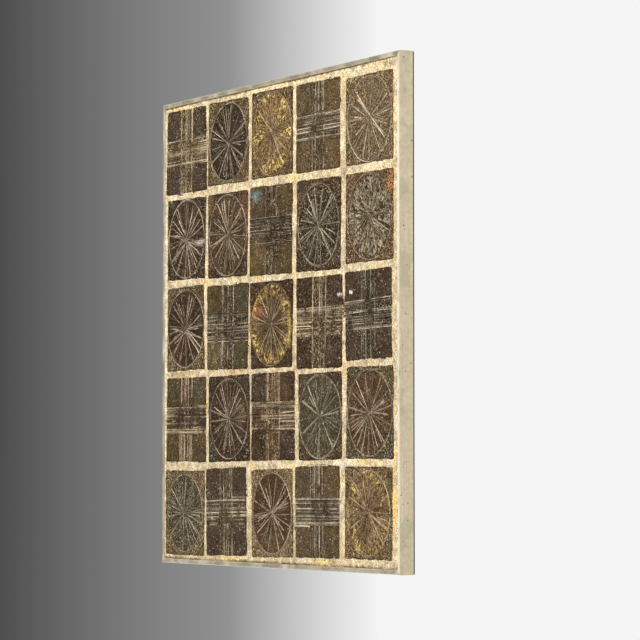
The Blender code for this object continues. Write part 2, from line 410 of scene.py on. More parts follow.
class SocketKind(Enum):
    """What a group's socket carries."""

    NUMBER = "NodeSocketFloat"
    COLOUR = "NodeSocketColor"
    VECTOR = "NodeSocketVector"


NUMBER, COLOUR, VECTOR = SocketKind.NUMBER, SocketKind.COLOUR, SocketKind.VECTOR


class Effect:
    """A shared effect: a shader node group with named inputs and outputs."""

    name = "effect"
    takes: dict[str, SocketKind] = {}
    gives: dict[str, SocketKind] = {}

    def __init__(self) -> None:
        """Builds the group once."""
        self.tree = bpy.data.node_groups.new(self.name, "ShaderNodeTree")
        for label, kind in self.takes.items():
            self.tree.interface.new_socket(label, in_out="INPUT", socket_type=kind.value)
        for label, kind in self.gives.items():
            self.tree.interface.new_socket(label, in_out="OUTPUT", socket_type=kind.value)
        given = node(self.tree, "NodeGroupInput").outputs
        results = self.build({label: given[label] for label in self.takes})
        out = node(self.tree, "NodeGroupOutput")
        for label, socket in results.items():
            self.tree.links.new(socket, out.inputs[label])

    def build(self, given: dict[str, Socket]) -> dict[str, Socket]:
        """Wires the effect and returns its outputs by name."""
        raise NotImplementedError

    def place(self, tree: Tree, **inputs: object) -> dict[str, Socket]:
        """Puts the effect into a material's tree and returns its outputs by name."""
        made = node(tree, "ShaderNodeGroup", inputs, node_tree=self.tree)
        return {label: made.outputs[label] for label in self.gives}


class Clouding(Effect):
    """Uneven depth and hue of a colour, in broad clouds and in fine ones, greyer where it is lighter."""

    name = "clouding"
    takes = {
        "Colour": COLOUR,
        "Place": VECTOR,
        "Broad": NUMBER,
        "Fine": NUMBER,
        "Contrast": NUMBER,
        "Speckle": NUMBER,
        "Warmth": NUMBER,
    }
    gives = {"Colour": COLOUR, "Cloud": NUMBER}
    hue_offset = (3.1, 1.7, 5.3)  # so that the hue turns in other places than the depth

    def build(self, given: dict[str, Socket]) -> dict[str, Socket]:
        """Lightens, darkens and turns the hue by noise.

        Args:
            given: its inputs by name.

        Returns:
            Its outputs by name.
        """
        tree = self.tree
        broad = spread(tree, noise(tree, given["Place"], given["Broad"]), 0.36, 0.64, (-1.0, 1.0))
        fine = noise(tree, given["Place"], given["Fine"], 4.0)
        cloud = spread(tree, fine, 0.38, 0.62)
        away = maths(tree, "MULTIPLY_ADD", cloud, 2.0, -1.0)
        slow = maths(tree, "MULTIPLY_ADD", broad, given["Contrast"], 1.0)
        fine_value = maths(tree, "POWER", 2.0, maths(tree, "MULTIPLY", away, given["Speckle"]))
        value = maths(tree, "MULTIPLY", slow, fine_value)
        moved = {0: given["Place"], 1: self.hue_offset}
        aside = node(tree, "ShaderNodeVectorMath", moved, operation="ADD")
        warm = maths(tree, "SUBTRACT", noise(tree, aside.outputs[0], given["Broad"]), 0.5)
        hue = maths(tree, "MULTIPLY_ADD", warm, given["Warmth"], 0.5)
        strong = maths(tree, "MULTIPLY_ADD", cloud, -0.32, 1.14)
        shifted = node(
            tree,
            "ShaderNodeHueSaturation",
            {"Hue": hue, "Saturation": strong, "Value": value, "Color": given["Colour"]},
        )
        return {"Colour": shifted.outputs["Color"], "Cloud": cloud}


class Flecks(Effect):
    """Small rounded specks of another colour, scattered by chance."""

    name = "flecks"
    takes = {
        "Colour": COLOUR,
        "Place": VECTOR,
        "Density": NUMBER,
        "Share": NUMBER,
        "Speck": COLOUR,
        "Strength": NUMBER,
    }
    gives = {"Colour": COLOUR, "Mask": NUMBER}

    def build(self, given: dict[str, Socket]) -> dict[str, Socket]:
        """Keeps a share of a cell pattern's cells and paints a speck in each.

        Args:
            given: its inputs by name.

        Returns:
            Its outputs by name.
        """
        tree = self.tree
        cells = node(tree, "ShaderNodeTexVoronoi", {"Vector": given["Place"], "Scale": given["Density"]})
        chance = node(tree, "ShaderNodeSeparateColor", {0: cells.outputs["Color"]})
        kept = maths(tree, "LESS_THAN", chance.outputs[0], given["Share"])
        size = maths(tree, "MULTIPLY_ADD", chance.outputs[1], 0.28, 0.16)
        inner = maths(tree, "MULTIPLY", size, 0.75)
        spot = spread(tree, cells.outputs["Distance"], size, inner)
        mask = maths(tree, "MULTIPLY", maths(tree, "MULTIPLY", spot, kept), given["Strength"])
        return {"Colour": tint(tree, mask, given["Colour"], given["Speck"]), "Mask": mask}


class Streaks(Effect):
    """Drawn-out patches of another colour that follow the grain."""

    name = "streaks"
    takes = {
        "Colour": COLOUR,
        "Grain": VECTOR,
        "Density": NUMBER,
        "Threshold": NUMBER,
        "Streak": COLOUR,
        "Strength": NUMBER,
    }
    gives = {"Colour": COLOUR, "Mask": NUMBER}

    def build(self, given: dict[str, Socket]) -> dict[str, Socket]:
        """Cuts stretched noise off at a threshold.

        Args:
            given: its inputs by name.

        Returns:
            Its outputs by name.
        """
        tree = self.tree
        drawn = noise(tree, given["Grain"], given["Density"], 2.0)
        top = maths(tree, "ADD", given["Threshold"], 0.07)
        mask = maths(tree, "MULTIPLY", spread(tree, drawn, given["Threshold"], top), given["Strength"])
        return {"Colour": tint(tree, mask, given["Colour"], given["Streak"]), "Mask": mask}


class Tooth(Effect):
    """Fine surface height: a soft swell with grit on it."""

    name = "tooth"
    takes = {"Place": VECTOR, "Swell": NUMBER, "Grit": NUMBER, "Share": NUMBER}
    gives = {"Height": NUMBER}

    def build(self, given: dict[str, Socket]) -> dict[str, Socket]:
        """Adds a share of fine noise to broad noise.

        Args:
            given: its inputs by name.

        Returns:
            Its output by name.
        """
        tree = self.tree
        swell = noise(tree, given["Place"], given["Swell"], 2.0)
        grit = noise(tree, given["Place"], given["Grit"], 3.0)
        height = maths(tree, "MULTIPLY_ADD", grit, given["Share"], swell)
        return {"Height": height}


@dataclass(frozen=True)
class Effects:
    """The effects that the finishes share."""

    clouding: Clouding
    flecks: Flecks
    streaks: Streaks
    tooth: Tooth


class Layers:
    """A finish's colour in the making: shared effects laid one over another."""

    def __init__(self, tree: Tree, colour: object) -> None:
        """Starts from a colour in a material's tree."""
        self.tree, self.colour = tree, colour

    def lay(self, effect: Effect, **inputs: object) -> dict[str, Socket]:
        """Lays one effect over the colour so far.

        Args:
            effect: which one.
            **inputs: its other inputs by name.

        Returns:
            Its outputs by name.
        """
        made = effect.place(self.tree, Colour=self.colour, **inputs)
        self.colour = made["Colour"]
        return made


def new_material(name: str) -> tuple[bpy.types.Material, bpy.types.Node]:
    """Makes a material with a Principled shader.

    Args:
        name: its name.

    Returns:
        The material and its shader.
    """
    material = bpy.data.materials.new(name)
    material.use_nodes = True
    return material, material.node_tree.nodes["Principled BSDF"]


# Finishes

RUST = paint(104, 70, 48)
BRICK = paint(98, 50, 38)
ORANGE = paint(190, 112, 42)
GOLD = paint(226, 194, 92)
OCHRE = paint(128, 100, 60)
KHAKI = paint(118, 102, 72)
PLUM = paint(62, 48, 46)
TEAL = paint(46, 54, 44)
SLATE = paint(96, 108, 106)
SOOT = paint(36, 32, 28)
CLAY = paint(92, 70, 50)
# a painted highlight: white spots where the glaze would catch the lamp
PAINTED_GLINT = paint(252, 252, 250)
DEEP_SHADE = paint(30, 18, 6)  # painted shade in pits, in grooves and along the tiles' rims
SMOKE = paint(46, 36, 28)
UMBER = paint(66, 44, 28)
WALNUT = paint(88, 70, 42)
TOBACCO = paint(100, 70, 34)
AMBER = paint(128, 90, 48)
OLIVE = paint(102, 88, 54)
MOSS = paint(82, 80, 52)
AUBERGINE = paint(84, 68, 60)
DRAB = paint(120, 104, 74)
SAND = paint(138, 122, 90)


@dataclass(frozen=True)
class Glaze:
    """One glaze: how it lies on the clay, and what shows through it."""

    name: str
    line: Colour = paint(226, 210, 174)  # scraped lines
    streak: Colour = paint(124, 108, 80)
    streak_cut: float = 0.56
    pooled: Colour = paint(222, 180, 80)
    frost: Colour = paint(170, 152, 124)  # where it has gone milky
    frost_cut: float = 0.54
    nodule: Colour = paint(194, 176, 142)
    contrast: float = 0.30
    speckle: float = 1.25
    warmth: float = 0.05
    streak_strength: float = 0.40
    syrup: float = 0.0  # how much stronger the streaks are where it has pooled
    roughness: float = 0.42
    coat: float = 0.035
    pale_share: float = 0.21

    def material(self, effects: Effects) -> bpy.types.Material:
        """Wires the finish.

        Args:
            effects: the effects that the finishes share.

        Returns:
            The material.
        """
        material, shader = new_material(self.name)
        tree = material.node_tree
        place, grain = own_place(tree), attribute(tree, "grain", "Vector")
        rough_clay, pooling = attribute(tree, "rough", "Fac"), attribute(tree, "pool", "Fac")
        speckle = maths(tree, "MULTIPLY_ADD", rough_clay, self.speckle, 0.5)
        milky = maths(tree, "MULTIPLY_ADD", rough_clay, 0.76, 0.05)
        runny = maths(tree, "MULTIPLY_ADD", pooling, self.syrup, self.streak_strength)
        pitting = maths(tree, "MULTIPLY_ADD", rough_clay, 0.80, 0.22)
        lumpy = maths(tree, "MULTIPLY", rough_clay, 0.95)
        speck_and_glint_patches = spread(tree, noise(tree, place, 42.0), 0.42, 0.60, (0.15, 1.0))
        layers = Layers(tree, attribute(tree, "ground", "Color"))
        clouded = layers.lay(effects.clouding, Place=place, Broad=55.0, Fine=300.0,
                             Contrast=self.contrast, Speckle=speckle, Warmth=self.warmth)
        layers.lay(effects.streaks, Grain=place, Density=248.0, Threshold=self.frost_cut,
                   Streak=self.frost, Strength=milky)
        layers.lay(effects.streaks, Grain=grain, Density=5.0, Threshold=self.streak_cut,
                   Streak=self.streak, Strength=runny)
        layers.lay(effects.streaks, Grain=grain, Density=2.5, Threshold=0.50,
                   Streak=self.pooled, Strength=pooling)
        layers.lay(effects.streaks, Grain=place, Density=272.0, Threshold=0.535,
                   Streak=DEEP_SHADE, Strength=pitting)
        layers.lay(effects.flecks, Place=place, Density=210.0, Share=0.45,
                   Speck=self.nodule, Strength=lumpy)
        # pale specks in patches: the glaze's own speckle, and painted glints
        layers.lay(effects.flecks, Place=place, Density=235.0, Share=self.pale_share,
                   Speck=paint(240, 234, 220), Strength=speck_and_glint_patches)
        # painted shade: grooves, dull edges and the tile's rim darken towards DEEP_SHADE
        painted_shade = maths(tree, "MULTIPLY", attribute(tree, "painted_shade", "Fac"), 0.85)
        shaded_colour = tint(tree, painted_shade, layers.colour, DEEP_SHADE)
        broken = spread(tree, noise(tree, place, 240.0), 0.38, 0.56, (0.4, 1.15))
        scraped = maths(tree, "MULTIPLY", attribute(tree, "pale", "Fac"), broken, clamp=True)
        colour = tint(tree, scraped, shaded_colour, self.line)
        tooth = effects.tooth.place(tree, Place=place, Swell=210.0, Grit=800.0, Share=0.45)
        normal = bump(tree, tooth["Height"], 0.9, 1.5)
        satin = maths(tree, "MULTIPLY_ADD", clouded["Cloud"], -0.14, self.roughness + 0.08)
        rough = maths(tree, "MULTIPLY_ADD", scraped, 0.22, satin)
        coat = maths(tree, "MULTIPLY_ADD", scraped, -self.coat, self.coat)
        wire(tree, shader, Base_Color=colour, Roughness=rough, Coat_Weight=coat, Normal=normal)
        shader.inputs["Coat Roughness"].default_value = 0.2
        shader.inputs["Specular IOR Level"].default_value = 0.16
        shader.inputs["Specular Tint"].default_value = (1.0, 0.82, 0.55, 1.0)
        return material


@dataclass(frozen=True)
class SandyGrout:
    """Sand and lime between the tiles, stained here and there."""

    def material(self, effects: Effects) -> bpy.types.Material:
        """Wires the finish.

        Args:
            effects: the effects that the finishes share.

        Returns:
            The material.
        """
        material, shader = new_material("sandy_grout")
        tree = material.node_tree
        place = own_place(tree)
        layers = Layers(tree, attribute(tree, "ground", "Color"))
        layers.lay(effects.clouding, Place=place, Broad=75.0, Fine=310.0,
                   Contrast=0.24, Speckle=0.5, Warmth=0.04)
        layers.lay(effects.flecks, Place=place, Density=300.0, Share=0.38,
                   Speck=paint(104, 82, 52), Strength=0.85)
        layers.lay(effects.flecks, Place=place, Density=230.0, Share=0.30,
                   Speck=paint(250, 240, 216), Strength=0.35)
        tooth = effects.tooth.place(tree, Place=place, Swell=420.0, Grit=1500.0, Share=0.5)
        wire(tree, shader, Base_Color=layers.colour, Normal=bump(tree, tooth["Height"], 0.6, 0.8))
        shader.inputs["Roughness"].default_value = 0.88
        return material


@dataclass(frozen=True)
class SatinMetal:
    """Brushed pale metal with a warm cast, gone dull in patches, with painted highlight along its arris and
    on the right lip.
    """

    base: Colour = paint(204, 192, 164)
    metallic: float = 0.65

    def material(self, effects: Effects) -> bpy.types.Material:
        """Wires the finish.

        Args:
            effects: the effects that the finishes share.

        Returns:
            The material.
        """
        material, shader = new_material("satin_metal")
        tree = material.node_tree
        place = own_place(tree)
        grain = attribute(tree, "grain", "Vector")
        layers = Layers(tree, self.base)
        layers.lay(effects.clouding, Place=place, Broad=14.0, Fine=120.0,
                   Contrast=0.06, Speckle=0.05, Warmth=0.04)
        layers.lay(effects.streaks, Grain=grain, Density=1.0, Threshold=0.5,
                   Streak=paint(170, 160, 126), Strength=0.45)
        layers.lay(effects.streaks, Grain=place, Density=16.0, Threshold=0.56,
                   Streak=paint(168, 166, 136), Strength=0.5)
        pits = layers.lay(effects.flecks, Place=place, Density=210.0, Share=0.02,
                          Speck=paint(92, 80, 60), Strength=0.7)
        # pale arris: worn bright in patches, and painted highlight where a rail's value is high
        arris = attribute(tree, "arris", "Fac")
        patchy = spread(tree, noise(tree, place, 60.0), 0.35, 0.6, (0.35, 1.0))
        arris_wear_and_highlight = maths(tree, "MULTIPLY", arris, patchy)
        edged = tint(tree, arris_wear_and_highlight, pits["Colour"], paint(238, 228, 214))
        # pale, dull lip: worn in patches, and on the right rail mostly a painted highlight
        lip = attribute(tree, "lip", "Fac")
        colour = tint(tree, lip, edged, paint(228, 220, 202))
        metallic = maths(tree, "MULTIPLY_ADD", lip, -self.metallic, self.metallic, clamp=True)
        lines = noise(tree, grain, 2.4, 2.0)
        rough = maths(tree, "MULTIPLY_ADD", lines, 0.16, 0.30)
        rough = maths(tree, "MULTIPLY_ADD", pits["Mask"], 0.3, rough)
        normal = bump(tree, lines, 0.25, 0.15)
        wire(tree, shader, Base_Color=colour, Roughness=rough, Normal=normal, Metallic=metallic)
        return material


@dataclass(frozen=True)
class BlackenedBoard:
    """Dark-stained board, faintly grained, scuffed and dusty."""

    def material(self, effects: Effects) -> bpy.types.Material:
        """Wires the finish.

        Args:
            effects: the effects that the finishes share.

        Returns:
            The material.
        """
        material, shader = new_material("blackened_board")
        tree = material.node_tree
        place = own_place(tree)
        drawn_out = {"Vector": place, "Scale": (1.0, 6.0, 0.05)}
        stretched = node(tree, "ShaderNodeMapping", drawn_out).outputs[0]
        layers = Layers(tree, paint(36, 32, 28))
        layers.lay(effects.clouding, Place=place, Broad=5.0, Fine=60.0,
                   Contrast=0.30, Speckle=0.20, Warmth=0.03)
        layers.lay(effects.streaks, Grain=stretched, Density=160.0, Threshold=0.5,
                   Streak=paint(24, 21, 19), Strength=0.7)
        dusty = layers.lay(effects.streaks, Grain=place, Density=9.0, Threshold=0.58,
                           Streak=paint(76, 70, 60), Strength=0.3)
        layers.lay(effects.flecks, Place=stretched, Density=70.0, Share=0.05,
                   Speck=paint(120, 108, 88), Strength=0.5)
        lines = noise(tree, stretched, 240.0, 3.0)
        rough = maths(tree, "MULTIPLY_ADD", dusty["Mask"], 0.25, 0.55)
        normal = bump(tree, lines, 0.4, 0.3)
        wire(tree, shader, Base_Color=layers.colour, Roughness=rough, Normal=normal)
        return material


# Scratched lines

RING_RADIUS = 83.0
RING_WIDTH = 3.0
GROOVE_WIDTHS = (2.4, 3.4)
RAY_STEP_WANDER = 0.18
HUB_WANDER = 4.0
HUB_CLEAR = (15.0, 22.0)
RAY_SHORTFALL = 12.0
BAND_SHARE = 0.27
OFFSET_WANDER = 2.0
LINE_LEAN = 0.9
OVERRUN = 10.0

FULL_LANES = (-2.1, -1.35, -0.9, -0.45, 0.45, 0.9, 1.35, 2.1)
FINE_LANES = (-2.1, -1.35, -0.45, 0.45, 1.35, 2.1)
DASH_LANES = (-1.8, -0.9, 0.9, 1.8)
CREST = 1.35  # how many half widths from its middle a line's raised edge stands
REACH = 2.1  # and how far it reaches


@dataclass(frozen=True)
class Scratch:
    """A groove pulled through the clay, with the clay raised at both sides of it."""

    half_width: float
    depth: float
    burr: float
    core: float  # how pale its floor is
    crest: tuple[float, float]  # how pale its raised edges are, the left one first
    lanes: tuple[float, ...] = FULL_LANES
    step: float = 3.0

    def length(self) -> float:
        """How long it is."""
        raise NotImplementedError

    def place(self, along: Array, lane: float) -> Array:
        """Points at these distances along it, lane half widths to its side."""
        raise NotImplementedError

    def measure(self, x: Array, z: Array) -> tuple[Array, Array]:
        """How strong it is at these points, and how many half widths they lie to its side."""
        raise NotImplementedError

    def runs(self) -> Iterable[Array]:
        """Its lanes as runs of points."""
        stations = np.linspace(0.0, self.length(), max(3, math.ceil(self.length() / self.step) + 1))
        for lane in self.lanes:
            yield self.place(stations, lane)


@dataclass(frozen=True)
class LineScratch(Scratch):
    """A nearly straight scratch between two points."""

    start: Point = (0.0, 0.0)
    end: Point = (1.0, 0.0)
    bow: float = 0.0
    fade: float = 4.0
    wedge: float = 0.0  # how much it widens from start to end

    def length(self) -> float:
        """How long it is."""
        return math.dist(self.start, self.end)

    def strength(self, along: Array) -> Array:
        """1 along most of it, falling to 0 at its ends."""
        run = np.minimum(along, self.length() - along)
        return np.sqrt(np.clip(run / self.fade, 0.0, 1.0))

    def width_at(self, along: Array) -> Array:
        """Its half width at these distances along it."""
        share = np.clip(along / self.length(), 0.0, 1.0)
        return self.half_width * (0.6 + 0.4 * self.strength(along)) * (1.0 + self.wedge * (share - 0.5))

    def shift(self, along: Array) -> Array:
        """How far it bows out at these distances along it."""
        share = np.clip(along / self.length(), 0.0, 1.0)
        return self.bow * 4.0 * share * (1.0 - share)

    def ahead(self) -> Array:
        """The direction from start to end."""
        return np.subtract(self.end, self.start) / self.length()

    def place(self, along: Array, lane: float) -> Array:
        """Finds points beside it.

        Args:
            along: distances along it, in mm.
            lane: how many half widths to its side.

        Returns:
            The points as (x, z) rows.
        """
        ahead = self.ahead()
        across = lane * self.width_at(along) + self.shift(along)
        side = np.array([-ahead[1], ahead[0]])
        return np.asarray(self.start) + along[:, None] * ahead + across[:, None] * side

    def measure(self, x: Array, z: Array) -> tuple[Array, Array]:
        """Measures it at some points.

        Args:
            x: the points' x in mm.
            z: their z in mm.

        Returns:
            How strong it is there, and how many half widths they lie to its side.
        """
        ahead = self.ahead()
        right, up = x - self.start[0], z - self.start[1]
        along = right * ahead[0] + up * ahead[1]
        across = up * ahead[0] - right * ahead[1] - self.shift(along)
        return self.strength(along), across / self.width_at(along)


@dataclass(frozen=True)
class RingScratch(Scratch):
    """The ring round a wheel, not quite true and faint in places."""

    radius: float = RING_RADIUS
    wobble: float = 0.9
    turn: float = 0.0

    def length(self) -> float:
        """How long it is."""
        return math.tau * self.radius

    def radius_at(self, angle: Array) -> Array:
        """The ring's own radius in this direction."""
        swing = np.cos(2 * angle + self.turn) + 0.6 * np.sin(3 * angle + 2.3 * self.turn)
        return self.radius + self.wobble * swing

    def place(self, along: Array, lane: float) -> Array:
        """Finds points beside it.

        Args:
            along: distances along it, in mm.
            lane: how many half widths to its side.

        Returns:
            The points as (x, z) rows.
        """
        angle = along / self.radius
        reach = self.radius_at(angle) + lane * self.half_width
        return np.stack([reach * np.cos(angle), reach * np.sin(angle)], axis=1)

    def runs(self) -> Iterable[Array]:
        """Its lanes as runs of points that stop one short of where they began."""
        for run in super().runs():
            yield run[:-1]

    def measure(self, x: Array, z: Array) -> tuple[Array, Array]:
        """Measures it at some points.

        Args:
            x: the points' x in mm.
            z: their z in mm.

        Returns:
            How strong it is there, and how many half widths they lie to its side.
        """
        angle = np.arctan2(z, x)
        strength = 0.62 + 0.38 * np.sin(2 * angle + self.turn) * np.sin(3 * angle - self.turn)
        return strength, (np.hypot(x, z) - self.radius_at(angle)) / self.half_width


class Relief:
    """Heights, paleness and painted shade of a tile's face, as its scratches cut it one after another."""

    def __init__(self, x: Array, z: Array, bare: Array) -> None:
        """Starts flat.

        Args:
            x: how far right each point lies.
            z: how far up.
            bare: how far the glaze leaves a scratch bare there.
        """
        self.x, self.z, self.bare = x, z, bare
        self.height = np.zeros_like(x)
        self.pale = np.zeros_like(x)
        self.painted_shade = np.zeros_like(x)

    def cut(self, scratch: Scratch) -> None:
        """Cuts one scratch, over whatever is there.

        Args:
            scratch: the scratch.
        """
        strength, lane = scratch.measure(self.x, self.z)
        near = (np.abs(lane) < REACH) & (strength > 0.0)
        strength, lane = strength[near], lane[near]
        side = np.abs(lane)
        cover = strength * ease(REACH, CREST, side)
        floor = ease(0.94, 0.43, side)
        crest = dome((side - CREST) / (REACH - CREST))
        edge = np.where(lane > 0.0, *scratch.crest)
        shaded = crest * np.clip(0.85 - 1.4 * edge, 0.0, 0.8)  # painted shade along a dull raised edge
        raised = strength * (scratch.burr * crest - scratch.depth * floor)
        light = strength * self.bare[near] * np.maximum(scratch.core * ease(0.9, 0.4, side), edge * crest)
        self.height[near] = self.height[near] * (1.0 - cover) + raised
        self.pale[near] = self.pale[near] * (1.0 - cover) + light
        # painted shade: dark in the groove's floor and along its dull edge
        self.painted_shade[near] = self.painted_shade[near] * (1.0 - cover) + strength * np.maximum(floor, shaded)


class Motif(Enum):
    """What is scratched into a tile."""

    WHEEL = "rays in a ring"
    CROSS = "two bands of lines that cross"


WHEEL, CROSS = Motif.WHEEL, Motif.CROSS


@dataclass(frozen=True)
class Bloom:
    """A patch where the glaze has taken another colour; in glint white it is a painted highlight."""

    right: float
    up: float
    wide: float
    high: float
    colour: Colour
    strength: float = 0.6


@dataclass(frozen=True)
class Tile:
    """One tile as it was laid and glazed."""

    motif: Motif
    glaze: str
    width: float
    height: float
    turn: float
    flare: float
    lines: int
    field: Colour  # inside the ring, or the four squares
    border: Colour  # outside the ring, or the crossing bands
    blooms: tuple[Bloom, ...] = ()
    extra: int = 8  # finer scratches beside the main ones
    chords: int = 0  # long scratches right across
    dashes: int = 0  # short strokes
    pool: float = 0.0  # how much glaze has pooled between the strokes
    pool_from: float = 20.0  # how far from the hub it begins to
    pool_full: float = 70.0  # and where most of it lies
    pale: float = 1.0  # how pale its lines are
    rough: float = 0.3  # how mottled it is inside the ring or on the bands
    upright_last: bool = False  # whether a cross's uprights were pulled over its level lines
    uprights: float = 1.0  # how pale its uprights are


